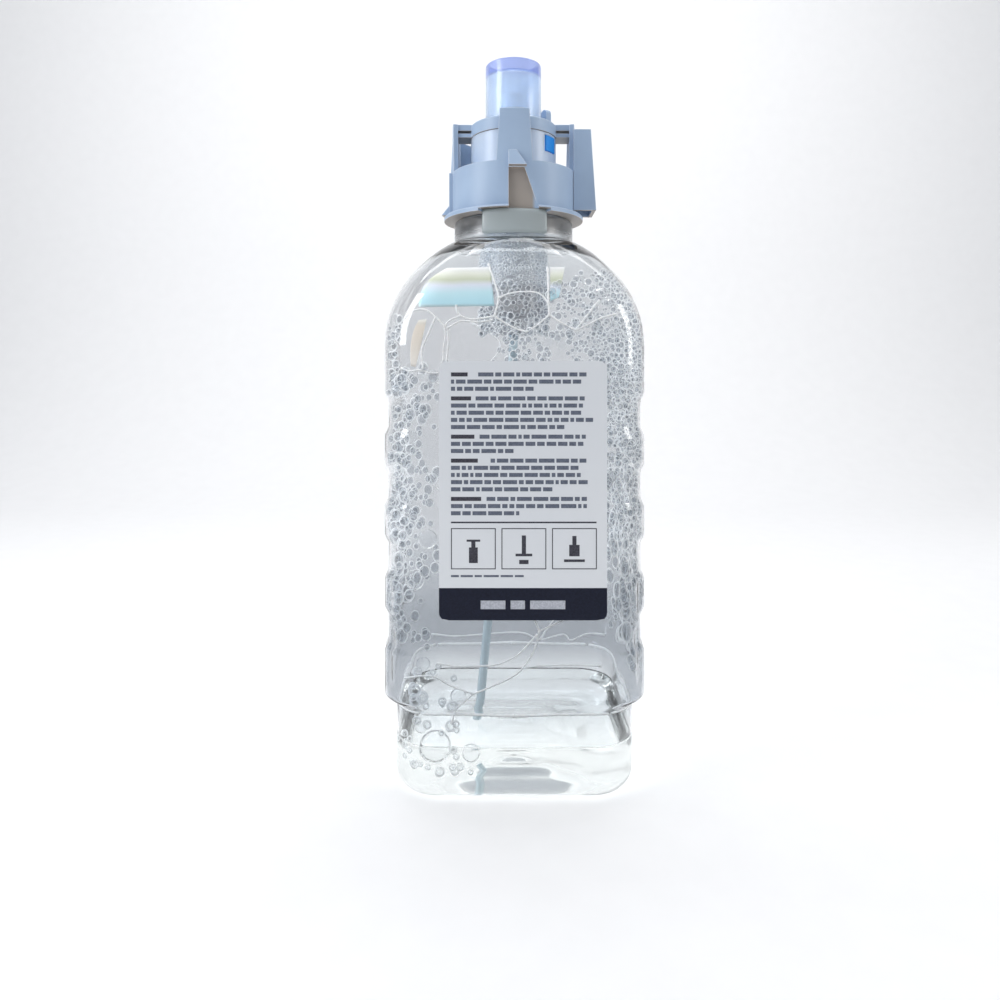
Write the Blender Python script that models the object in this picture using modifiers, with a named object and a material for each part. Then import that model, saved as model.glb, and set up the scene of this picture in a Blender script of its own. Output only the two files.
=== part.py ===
"""A foaming hand soap refill: a clear blow-moulded bottle with a foam pump under a keyed collar.

Metres, +Z up. The origin is the centre of the base on the surface that it stands on, and the label
faces -Y. The pump's moving pieces hang from the empty pump_head_axis, which slides along Z.
"""

import math

import bmesh
import bpy
from mathutils import Matrix, Vector

# Clearances
FIT = 0.0003  # between seated pieces
SLIP = 0.0003  # between sliding pieces

# Bottle body
BODY_HALF_WIDTH = 0.0526
BODY_HALF_DEPTH = 0.0400
BODY_CORNER = 0.0170
BODY_WALL = 0.0008
BASE_HALF_WIDTH = 0.0478
BASE_HALF_DEPTH = 0.0388
BASE_STEP_Z = 0.0350
BASE_STEP_RISE = 0.0035
BASE_FILLET = 0.0090
FOOT_LAND = 0.0045
PUSH_UP = 0.0050

# Grip bumps on the two narrow sides
GRIP_TOP_Z = 0.1575
GRIP_PITCH = 0.0285
GRIP_RECESS = 0.0140
GRIP_DEPTH = 0.0016
GRIP_SLOPE = 0.0022
GRIP_COUNT = 4

# Shoulder and neck
SIDE_SHOULDER_Z = 0.1760
FRONT_SHOULDER_Z = 0.1860
NECK_ROOT_Z = 0.2230
NECK_ROOT_RADIUS = 0.0257
NECK_LEDGE_Z = 0.2318
FINISH_RADIUS = 0.0224
FINISH_WALL = 0.0020
FINISH_HEIGHT = 0.0156
SNAP_BEAD = 0.0012
SNAP_BEAD_HEIGHT = 0.0024
SNAP_BEAD_RISE = 0.0062
LUG_HALF_WIDTH = 0.0130
LUG_PROUD = 0.0021
LUG_RISE = 0.0014

# Soap left in the bottle
SOAP_LEVEL = 0.0220

# Label
LABEL_WIDTH = 0.0646
LABEL_HEIGHT = 0.0996
LABEL_THICKNESS = 0.0002
LABEL_CORNER = 0.0027
LABEL_BOTTOM_Z = 0.0720
LABEL_SHIFT = 0.0030

# Pump housing
BOWL_RADIUS = 0.0186
BOWL_WALL = 0.0012
BOWL_DEPTH = 0.0157
HOUSING_WALL = 0.0012
HOUSING_FLOOR = 0.0015
CLAMP_FLANGE = 0.0017
CLAMP_FLANGE_RADIUS = 0.0226
GASKET_THICKNESS = 0.0012
PLUG_DEPTH = 0.0040
PLUG_WALL = 0.0010
AIR_BORE = 0.0122
AIR_CYLINDER_DEPTH = 0.0589
LIQUID_BORE = 0.0050
LIQUID_CYLINDER_HEIGHT = 0.0305
SPIGOT_RADIUS = 0.0057
SPIGOT_LENGTH = 0.0090
INLET_HOLE = 0.0018
INLET_SEAT_DEPTH = 0.0045
TUBE_SOCKET_DEPTH = 0.0045

# Blue key tab in the bowl's wall, its azimuth counted from the front towards +X
TAB_WIDTH = 0.0074
TAB_HEIGHT = 0.0064
TAB_BELOW_RIM = 0.0012
TAB_PROUD = 0.0004
TAB_AZIMUTH = 56.0

# Collar
DECK_THICKNESS = 0.0018
SKIRT_RADIUS = 0.0266
SKIRT_WALL = 0.0024
FLANGE_RADIUS = 0.0302
FLANGE_THICKNESS = 0.0020
RING_RADIUS = 0.0188
RING_HEIGHT = 0.0054
POST_THICKNESS = 0.0020
POST_HALF_WIDTH_FOOT = 0.0074
POST_HALF_WIDTH_TOP = 0.0060
POST_WEB_WIDTH = 0.0100
POST_TOP_WEB = 0.0025
POST_LOW_WEB = 0.0016
SNAP_RIB = 0.0013
SNAP_RIB_HEIGHT = 0.0016
SNAP_RIB_RISE = 0.0024
WING_WALL = 0.0016
WING_REACH_TOP = 0.0328
WING_REACH_FOOT = 0.0355
WING_FOOT_RISE = 0.0040
WING_TOP_DROP = 0.0028
SIDE_WING_AZIMUTH = 90.0
SIDE_WING_DEPTH = 0.0160
REAR_WING_AZIMUTH = 232.0
REAR_WING_DEPTH = 0.0120
REAR_WING_SHORTER = 0.0026
SIDE_PAD_PROUD = 0.0012
SIDE_PAD_HALF_WIDTH = 0.0050
RAMP_PROUD = 0.0030
RAMP_HEIGHT = 0.0066
RAMP_WIDTH_TOP = 0.0032
RAMP_WIDTH_LIP = 0.0072
RAMP_LIP_BELOW_DECK = 0.0010
RAMP_SHIFT = 0.0012
POCKET_DEPTH = 0.0017
POCKET_WIDTH_TOP = 0.0064
POCKET_WIDTH_FOOT = 0.0134
REAR_RAMP_AZIMUTH = 262.0
REAR_RAMP_HEIGHT = 0.0058
REAR_RAMP_PROUD = 0.0052
REAR_RAMP_WIDTH = 0.0050
TOP_TAB_AZIMUTH = 118.0
TOP_TAB_RADIUS = 0.0166
TOP_TAB_WIDTH = 0.0052
TOP_TAB_THICKNESS = 0.0024
TOP_TAB_HEIGHT = 0.0106

# Outlet sleeve
SLEEVE_RADIUS = 0.0122
SLEEVE_WALL = 0.0011
SLEEVE_ABOVE_RING = 0.0266
SLEEVE_RIM_ROUND = 0.0006
SLEEVE_STOP_REACH = 0.0034
SLEEVE_STOP_THICKNESS = 0.0020
SOCKET_DEPTH = 0.0048
SOCKET_CONE = 0.0075
OUTLET_BORE = 0.0043
STEM_BORE = 0.0062
STEM_WALL = 0.0012

# Pistons, valves and meshes
PISTON_WEB = 0.0012
PISTON_WEB_DROP = 0.0112
PISTON_LIP = 0.0036
PISTON_LIP_THICKNESS = 0.0008
PISTON_HUB_HEIGHT = 0.0105
PISTON_VENTS = 6
PISTON_VENT_RADIUS = 0.0007
AIR_VALVE_THICKNESS = 0.0006
AIR_VALVE_WIDTH = 0.0021
LIQUID_STEM_RADIUS = 0.0031
LIQUID_STEM_BORE = 0.0018
LIQUID_PISTON_REACH = 0.0285
LIQUID_LIP_HEIGHT = 0.0045
STEM_HEAD = 0.0020
VALVE_BALL_RADIUS = 0.0026
CARTRIDGE_LENGTH = 0.0180
CARTRIDGE_WALL = 0.0009
MESH_THICKNESS = 0.0004
RETAINER_THICKNESS = 0.0014
RETAINER_HOLE = 0.0016
RETAINER_SLOT = 0.0012
RETAINER_ABOVE_BALL = 0.0010

# Return spring
SPRING_RADIUS = 0.0086
SPRING_WIRE = 0.0011
SPRING_TURNS = 8
SPRING_DEAD_TURNS = 1

# Dip tube
TUBE_RADIUS = 0.0019
TUBE_WALL = 0.0006
TUBE_TIP_X = -0.0160
TUBE_TIP_ABOVE_FLOOR = 0.0034
TUBE_BEND = 0.0240

# Facets
CORNER_POINTS = 6
SHOULDER_STEPS = 8
FINE_STEPS = 48
SMALL_STEPS = 28
TINY_STEPS = 18

# Heights that follow from the sizes above, from the neck upwards
NECK_RIM_Z = NECK_LEDGE_Z + FINISH_HEIGHT
GASKET_Z = NECK_RIM_Z + FIT
CLAMP_Z = GASKET_Z + GASKET_THICKNESS + FIT
DECK_Z = CLAMP_Z + CLAMP_FLANGE + FIT
DECK_TOP_Z = DECK_Z + DECK_THICKNESS
SKIRT_Z = NECK_LEDGE_Z + 2 * FIT
BOWL_FLOOR_Z = CLAMP_Z + CLAMP_FLANGE + HOUSING_FLOOR
BOWL_RIM_Z = BOWL_FLOOR_Z + BOWL_DEPTH
RING_Z = BOWL_RIM_Z + FIT
RING_TOP_Z = RING_Z + RING_HEIGHT

# Heights from the bowl downwards
AIR_FLOOR_Z = BOWL_FLOOR_Z - AIR_CYLINDER_DEPTH
HOUSING_FOOT_Z = AIR_FLOOR_Z - HOUSING_WALL
SPIGOT_FOOT_Z = HOUSING_FOOT_Z - SPIGOT_LENGTH
LIQUID_TOP_Z = AIR_FLOOR_Z + LIQUID_CYLINDER_HEIGHT
INLET_SEAT_Z = AIR_FLOOR_Z - INLET_SEAT_DEPTH
TUBE_STOP_Z = SPIGOT_FOOT_Z + TUBE_SOCKET_DEPTH

# Heights of the moving pieces with the sleeve up
SLEEVE_TOP_Z = RING_TOP_Z + SLEEVE_ABOVE_RING
SLEEVE_STOP_Z = BOWL_RIM_Z - FIT
WEB_Z = BOWL_FLOOR_Z - PISTON_WEB_DROP
WEB_TOP_Z = WEB_Z + PISTON_WEB
HUB_TOP_Z = WEB_TOP_Z + PISTON_HUB_HEIGHT
STEM_FOOT_Z = WEB_TOP_Z + FIT
STEM_HEAD_Z = HUB_TOP_Z + FIT
LIQUID_PISTON_Z = WEB_Z - LIQUID_PISTON_REACH
OUTLET_SEAT_Z = STEM_HEAD_Z + STEM_HEAD

CLEAR = dict(colour=(0.90, 0.94, 0.95), roughness=0.05, transmission=1.0)
SOAP = dict(colour=(0.93, 0.96, 0.97), roughness=0.02, transmission=1.0)
PAPER = dict(colour=(0.84, 0.85, 0.88), roughness=0.45, transmission=0.0)
GREY_BLUE = dict(colour=(0.45, 0.52, 0.66), roughness=0.45, transmission=0.0)
NATURAL = dict(colour=(0.78, 0.84, 0.92), roughness=0.30, transmission=0.5)
OUTLET_BLUE = dict(colour=(0.40, 0.52, 0.90), roughness=0.25, transmission=0.5)
KEY_BLUE = dict(colour=(0.01, 0.26, 0.80), roughness=0.35, transmission=0.0)
WHITE = dict(colour=(0.85, 0.86, 0.88), roughness=0.35, transmission=0.0)
RUBBER = dict(colour=(0.62, 0.64, 0.66), roughness=0.70, transmission=0.0)
STEEL = dict(colour=(0.60, 0.60, 0.62), roughness=0.25, transmission=0.0, metallic=1.0)


def clear_scene():
    for thing in list(bpy.data.objects):
        bpy.data.objects.remove(thing, do_unlink=True)


def new_collection(name):
    collection = bpy.data.collections.new(name)
    bpy.context.scene.collection.children.link(collection)
    return collection


def make_material(name, colour, roughness, transmission, metallic=0.0):
    material = bpy.data.materials.new(name)
    material.use_nodes = True
    shader = material.node_tree.nodes["Principled BSDF"]
    shader.inputs["Base Color"].default_value = (*colour, 1.0)
    shader.inputs["Roughness"].default_value = roughness
    shader.inputs["Metallic"].default_value = metallic
    shader.inputs["Transmission Weight"].default_value = transmission
    material.diffuse_color = (*colour, 1.0)
    return material


def add_object(name, bm, look=None, smooth_angle=30.0):
    """Put a bmesh in the scene: a piece where it has a look, and otherwise a cutter."""
    mesh = bpy.data.meshes.new(name)
    bm.to_mesh(mesh)
    bm.free()
    mesh.shade_smooth()
    mesh.set_sharp_from_angle(angle=math.radians(smooth_angle))
    thing = bpy.data.objects.new(name, mesh)
    if look is None:
        tools.objects.link(thing)
        thing.hide_render = True
        thing.display_type = "WIRE"
    else:
        pieces.objects.link(thing)
        mesh.materials.append(make_material(name, **look))
    return thing


def revolve(name, profile, look=None, steps=FINE_STEPS):
    """Turn a closed (radius, height) outline round Z. It runs down its outer side."""
    bm = bmesh.new()
    corners = [bm.verts.new((radius, 0.0, height)) for radius, height in profile]
    for start, end in zip(corners, corners[1:] + corners[:1]):
        bm.edges.new((start, end))
    thing = add_object(name, bm, look)
    screw = thing.modifiers.new("turn", "SCREW")
    screw.axis = "Z"
    screw.angle = math.tau
    screw.steps = steps
    screw.render_steps = steps
    screw.use_merge_vertices = True
    screw.merge_threshold = 0.00001
    screw.use_normal_calculate = False
    return thing


def block(name, size, centre, azimuth=0.0, look=None):
    """A box, turned round Z so that its own -Y side looks along the azimuth from the front."""
    bm = bmesh.new()
    bmesh.ops.create_cube(bm, size=1.0)
    bmesh.ops.scale(bm, vec=Vector(size), verts=bm.verts)
    bmesh.ops.translate(bm, vec=Vector(centre), verts=bm.verts)
    thing = add_object(name, bm, look)
    thing.rotation_euler.z = math.radians(azimuth)
    return thing


def rod(name, radius, foot, top, place=(0.0, 0.0), steps=SMALL_STEPS, look=None):
    """A plain cylinder along Z."""
    bm = bmesh.new()
    bmesh.ops.create_cone(
        bm, cap_ends=True, segments=steps, radius1=radius, radius2=radius, depth=top - foot
    )
    bmesh.ops.translate(bm, vec=Vector((*place, (foot + top) / 2)), verts=bm.verts)
    return add_object(name, bm, look)


def prism(name, outline, depth, azimuth=0.0, look=None):
    """Extrude an (across, height) outline outwards between the two distances from the axis."""
    near, far = depth
    bm = bmesh.new()
    corners = [bm.verts.new((across, -near, height)) for across, height in outline]
    face = bm.faces.new(corners)
    swept = bmesh.ops.extrude_face_region(bm, geom=[face])
    moved = [v for v in swept["geom"] if isinstance(v, bmesh.types.BMVert)]
    bmesh.ops.translate(bm, vec=Vector((0.0, near - far, 0.0)), verts=moved)
    bmesh.ops.recalc_face_normals(bm, faces=bm.faces)
    thing = add_object(name, bm, look)
    thing.rotation_euler.z = math.radians(azimuth)
    return thing


def sector(name, radii, heights, half_widths, azimuth=0.0, steps=8, look=None):
    """A curved plate round Z, whose half widths at its foot and its top may differ."""
    inner, outer = radii
    foot, top = heights
    reach = [math.asin(half / outer) for half in half_widths]
    bm = bmesh.new()
    corners = ((inner, foot), (outer, foot), (outer, top), (inner, top))
    face = bm.faces.new([bm.verts.new((0.0, -radius, height)) for radius, height in corners])
    bmesh.ops.spin(
        bm,
        geom=[face, *face.edges, *face.verts],
        axis=(0.0, 0.0, 1.0),
        cent=(0.0, 0.0, 0.0),
        angle=1.0,
        steps=steps,
        use_merge=False,
        use_duplicate=False,
    )
    for vert in bm.verts:
        turn = math.atan2(vert.co.x, -vert.co.y)
        share = (vert.co.z - foot) / (top - foot)
        half = reach[0] + share * (reach[1] - reach[0])
        vert.co = Matrix.Rotation(2 * half * turn - half - turn, 3, "Z") @ vert.co
    bmesh.ops.recalc_face_normals(bm, faces=bm.faces)
    thing = add_object(name, bm, look)
    thing.rotation_euler.z = math.radians(azimuth)
    return thing


def ball(name, radius, height, look):
    bm = bmesh.new()
    bmesh.ops.create_uvsphere(bm, u_segments=14, v_segments=8, radius=radius)
    thing = add_object(name, bm, look)
    thing.location.z = height
    return thing


def combine(thing, tool, operation):
    """A live Boolean modifier: UNION, DIFFERENCE or INTERSECT."""
    modifier = thing.modifiers.new(f"{operation.lower()} {tool.name}", "BOOLEAN")
    modifier.operation = operation
    modifier.object = tool
    modifier.solver = "EXACT"


def seat_height(ball_radius, hole_radius):
    """How far a ball's centre stands above the edge of the hole that it closes."""
    return math.sqrt(ball_radius**2 - hole_radius**2)


def mix(start, end, share):
    return start + (end - start) * share


def section(half_width, half_depth, corner, height):
    """One ring of the bottle: a rounded rectangle, or a circle where both halves equal the corner."""
    corner = min(corner, half_width, half_depth)
    flats = half_width + half_depth - 2 * corner
    spread = max(0.0, 1.0 - flats / BODY_CORNER)
    ring = []
    for quarter, (side_x, side_y) in enumerate(((1, 1), (-1, 1), (-1, -1), (1, -1))):
        for i in range(CORNER_POINTS):
            share = mix(i / (CORNER_POINTS - 1), (i + 0.5) / CORNER_POINTS, spread)
            angle = (quarter + share) * math.pi / 2
            x = side_x * (half_width - corner) + corner * math.cos(angle)
            y = side_y * (half_depth - corner) + corner * math.sin(angle)
            ring.append((x, y, height))
    return ring


def base_sections(inset):
    """The push-up base and its fillet, moved inwards by inset, as (width, depth, corner, height)."""
    fillet = BASE_FILLET - inset
    land = BASE_FILLET + FOOT_LAND
    sections = []
    for share in (0.12, 0.45, 0.75):
        rise = inset + PUSH_UP * math.cos(share * math.pi / 2)
        sections.append(
            (
                share * (BASE_HALF_WIDTH - land),
                share * (BASE_HALF_DEPTH - land),
                share * (BODY_CORNER - FOOT_LAND),
                rise,
            )
        )
    sections.append((BASE_HALF_WIDTH - land, BASE_HALF_DEPTH - land, BODY_CORNER - FOOT_LAND, inset))
    for step in range(5):
        angle = step * math.pi / 8
        reach = BASE_FILLET - fillet * math.sin(angle)
        sections.append(
            (
                BASE_HALF_WIDTH - reach,
                BASE_HALF_DEPTH - reach,
                max(BODY_CORNER - reach, BODY_CORNER / 3),
                BASE_FILLET - fillet * math.cos(angle),
            )
        )
    return sections


def grip_sections():
    """The grip bands from the base step up to the plain upper body: recesses cut into the sides."""
    sections = []
    for i in reversed(range(GRIP_COUNT)):
        top = GRIP_TOP_Z - i * GRIP_PITCH
        bottom = top - GRIP_RECESS
        for height, depth in (
            (bottom - GRIP_SLOPE / 2, 0.0),
            (bottom + GRIP_SLOPE / 2, GRIP_DEPTH),
            (top - GRIP_SLOPE / 2, GRIP_DEPTH),
            (top + GRIP_SLOPE / 2, 0.0),
        ):
            sections.append((BODY_HALF_WIDTH - depth, BODY_HALF_DEPTH, BODY_CORNER, height))
    return sections


def shoulder_sections():
    """The shoulder narrows later in depth than in width, and its corners open into a circle."""
    sections = []
    for step in range(SHOULDER_STEPS + 1):
        share = 1 - (1 - step / SHOULDER_STEPS) ** 1.6
        height = mix(SIDE_SHOULDER_Z, NECK_ROOT_Z, share)
        late = max(0.0, (height - FRONT_SHOULDER_Z) / (NECK_ROOT_Z - FRONT_SHOULDER_Z))
        sections.append(
            (
                mix(NECK_ROOT_RADIUS, BODY_HALF_WIDTH, (1 - share**2.2) ** 0.85),
                mix(NECK_ROOT_RADIUS, BODY_HALF_DEPTH, (1 - late**1.7) ** 0.85),
                mix(BODY_CORNER, NECK_ROOT_RADIUS, share**2),
                height,
            )
        )
    return sections


def neck_sections():
    """The round neck: root, ledge and the finish with its snap bead."""
    bead = FINISH_RADIUS + SNAP_BEAD
    bead_foot = NECK_LEDGE_Z + SNAP_BEAD_RISE
    bead_top = bead_foot + SNAP_BEAD_HEIGHT
    outline = (
        (NECK_ROOT_RADIUS, NECK_LEDGE_Z),
        (FINISH_RADIUS, NECK_LEDGE_Z),
        (FINISH_RADIUS, bead_foot),
        (bead, bead_foot),
        (FINISH_RADIUS, bead_top),
        (FINISH_RADIUS, NECK_RIM_Z),
    )
    return [(radius, radius, radius, height) for radius, height in outline]


def loft(bm, rings):
    """Skin a stack of rings with equal counts, from the bottom up, facing outwards."""
    loops = [[bm.verts.new(point) for point in ring] for ring in rings]
    for low, high in zip(loops, loops[1:]):
        for i in range(len(low)):
            j = (i + 1) % len(low)
            bm.faces.new((low[i], low[j], high[j], high[i]))
    return loops


def make_bottle():
    body = [*base_sections(0.0)]
    body.append((BASE_HALF_WIDTH, BASE_HALF_DEPTH, BODY_CORNER, BASE_STEP_Z))
    body.append((BODY_HALF_WIDTH, BODY_HALF_DEPTH, BODY_CORNER, BASE_STEP_Z + BASE_STEP_RISE))
    body += grip_sections() + shoulder_sections()
    neck = neck_sections()
    bm = bmesh.new()
    loops = loft(bm, [section(*values) for values in body + neck])
    bm.faces.new(reversed(loops[0]))
    neck_start = len(body) - 1
    ring_size = len(loops[0])
    bottle = add_object("bottle", bm, CLEAR)
    wall = bottle.vertex_groups.new(name="wall")
    wall.add(range(neck_start * ring_size), BODY_WALL / FINISH_WALL, "REPLACE")
    wall.add(range(neck_start * ring_size, len(loops) * ring_size), 1.0, "REPLACE")
    shell = bottle.modifiers.new("wall", "SOLIDIFY")
    shell.thickness = FINISH_WALL
    shell.offset = -1.0
    shell.use_even_offset = True
    shell.vertex_group = "wall"
    lug_radii = (NECK_ROOT_RADIUS - FINISH_WALL / 2, NECK_ROOT_RADIUS + LUG_PROUD)
    lug_heights = (NECK_ROOT_Z, NECK_LEDGE_Z + LUG_RISE)
    for azimuth in (0.0, 180.0):
        lug = sector(
            f"neck_lug_{azimuth:.0f}", lug_radii, lug_heights, [LUG_HALF_WIDTH] * 2, azimuth
        )
        combine(bottle, lug, "UNION")
    return bottle


def tube_path():
    """The dip tube's centre line: straight out of its socket, a bend, then straight to its tip."""
    floor = BODY_WALL + PUSH_UP * math.cos(
        math.pi / 2 * min(1.0, abs(TUBE_TIP_X) / (BASE_HALF_WIDTH - BASE_FILLET - FOOT_LAND))
    )
    tip = Vector((TUBE_TIP_X, 0.0, floor + TUBE_TIP_ABOVE_FLOOR))
    top = Vector((0.0, 0.0, TUBE_STOP_Z - FIT))
    bend_top = Vector((0.0, 0.0, SPIGOT_FOOT_Z))
    bend_corner = bend_top - Vector((0.0, 0.0, TUBE_BEND / 2))
    bend_foot = bend_corner + (tip - bend_corner).normalized() * TUBE_BEND / 2
    bend = []
    for step in range(5):
        share = step / 4
        bend.append(bend_top.lerp(bend_corner, share).lerp(bend_corner.lerp(bend_foot, share), share))
    return [top, *bend, tip]


def sweep(name, points, radius, sides, look, caps):
    """A round bar or an open tube along a line of points, as a mesh."""
    curve = bpy.data.curves.new(name + "_line", "CURVE")
    curve.dimensions = "3D"
    curve.bevel_depth = radius
    curve.bevel_resolution = sides
    curve.use_fill_caps = caps
    spline = curve.splines.new("POLY")
    spline.points.add(len(points) - 1)
    for spot, point in zip(spline.points, points):
        spot.co = (*point, 1.0)
    line = bpy.data.objects.new(name + "_line", curve)
    tools.objects.link(line)
    bpy.context.view_layer.update()
    graph = bpy.context.evaluated_depsgraph_get()
    mesh = bpy.data.meshes.new_from_object(line.evaluated_get(graph))
    bm = bmesh.new()
    bm.from_mesh(mesh)
    bmesh.ops.remove_doubles(bm, verts=bm.verts, dist=0.00001)
    bmesh.ops.recalc_face_normals(bm, faces=bm.faces)
    bpy.data.objects.remove(line, do_unlink=True)
    return add_object(name, bm, look)


def make_dip_tube():
    tube = sweep("dip_tube", tube_path(), TUBE_RADIUS, 4, NATURAL, caps=False)
    shell = tube.modifiers.new("bore", "SOLIDIFY")
    shell.thickness = TUBE_WALL
    shell.offset = -1.0
    shell.use_even_offset = True
    return tube


def make_soap():
    """The pool in the bottom, a fit's width clear of the bottle, with a channel for the dip tube."""
    inset = BODY_WALL + FIT
    rings = [section(*values) for values in base_sections(inset)]
    rings.append(
        section(BASE_HALF_WIDTH - inset, BASE_HALF_DEPTH - inset, BODY_CORNER - inset, SOAP_LEVEL)
    )
    bm = bmesh.new()
    loops = loft(bm, rings)
    bm.faces.new(reversed(loops[0]))
    bm.faces.new(loops[-1])
    soap = add_object("soap", bm, SOAP)
    path = tube_path()
    below = path[-1] + (path[-1] - path[-2]).normalized() * FIT
    channel = sweep("tube_channel", [*path[:-1], below], TUBE_RADIUS + FIT, 2, None, caps=True)
    combine(soap, channel, "DIFFERENCE")
    return soap


def make_label():
    """A flat sheet with rounded corners on the front panel."""
    across, up = LABEL_WIDTH / 2 - LABEL_CORNER, LABEL_HEIGHT / 2 - LABEL_CORNER
    outline = []
    for quarter, (side_x, side_z) in enumerate(((1, 1), (-1, 1), (-1, -1), (1, -1))):
        for i in range(5):
            angle = (quarter + i / 4) * math.pi / 2
            x = side_x * across + LABEL_CORNER * math.cos(angle) + LABEL_SHIFT
            z = side_z * up + LABEL_CORNER * math.sin(angle)
            outline.append((x, z + LABEL_BOTTOM_Z + LABEL_HEIGHT / 2))
    back = BODY_HALF_DEPTH + FIT
    return prism("label", outline, (back, back + LABEL_THICKNESS), look=PAPER)


def make_housing():
    """Bowl, clamp flange, plug, air cylinder, liquid cylinder and tube spigot, in one turning."""
    air_outer = AIR_BORE + HOUSING_WALL
    liquid_outer = LIQUID_BORE + HOUSING_WALL
    plug_outer = FINISH_RADIUS - FINISH_WALL - FIT
    plug_inner = plug_outer - PLUG_WALL
    floor_under = BOWL_FLOOR_Z - HOUSING_FLOOR
    socket = TUBE_RADIUS + FIT
    profile = (
        (BOWL_RADIUS, BOWL_RIM_Z),
        (BOWL_RADIUS, floor_under),
        (CLAMP_FLANGE_RADIUS, floor_under),
        (CLAMP_FLANGE_RADIUS, CLAMP_Z),
        (plug_outer, CLAMP_Z),
        (plug_outer, CLAMP_Z - PLUG_DEPTH),
        (plug_inner, CLAMP_Z - PLUG_DEPTH),
        (plug_inner, floor_under - HOUSING_WALL / 4),
        (air_outer, floor_under - HOUSING_WALL / 4),
        (air_outer, HOUSING_FOOT_Z),
        (SPIGOT_RADIUS, HOUSING_FOOT_Z - HOUSING_WALL),
        (SPIGOT_RADIUS, SPIGOT_FOOT_Z),
        (socket, SPIGOT_FOOT_Z),
        (socket, TUBE_STOP_Z),
        (INLET_HOLE, TUBE_STOP_Z),
        (INLET_HOLE, INLET_SEAT_Z),
        (LIQUID_BORE, INLET_SEAT_Z + LIQUID_BORE - INLET_HOLE),
        (LIQUID_BORE, LIQUID_TOP_Z),
        (liquid_outer, LIQUID_TOP_Z),
        (liquid_outer, AIR_FLOOR_Z),
        (AIR_BORE, AIR_FLOOR_Z),
        (AIR_BORE, BOWL_FLOOR_Z),
        (BOWL_RADIUS - BOWL_WALL, BOWL_FLOOR_Z),
        (BOWL_RADIUS - BOWL_WALL, BOWL_RIM_Z),
    )
    housing = revolve("pump_housing", profile, NATURAL, steps=36)
    tab_top = BOWL_RIM_Z - TAB_BELOW_RIM
    slot = sector(
        "key_slot",
        (BOWL_RADIUS - 2 * BOWL_WALL, BOWL_RADIUS + BOWL_WALL),
        (tab_top - TAB_HEIGHT - FIT, tab_top + FIT),
        [TAB_WIDTH / 2 + FIT] * 2,
        TAB_AZIMUTH,
    )
    combine(housing, slot, "DIFFERENCE")
    return housing


def make_key_tab():
    top = BOWL_RIM_Z - TAB_BELOW_RIM
    return sector(
        "key_tab",
        (BOWL_RADIUS - BOWL_WALL, BOWL_RADIUS + TAB_PROUD),
        (top - TAB_HEIGHT, top),
        [TAB_WIDTH / 2 * (1 + TAB_PROUD / BOWL_RADIUS) - FIT] * 2,
        TAB_AZIMUTH,
        look=KEY_BLUE,
    )


def make_gasket():
    inner = FINISH_RADIUS - FINISH_WALL + FIT
    outer = FINISH_RADIUS - FIT
    profile = (
        (outer, GASKET_Z + GASKET_THICKNESS),
        (outer, GASKET_Z),
        (inner, GASKET_Z),
        (inner, GASKET_Z + GASKET_THICKNESS),
    )
    return revolve("neck_gasket", profile, RUBBER, steps=SMALL_STEPS)


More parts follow.
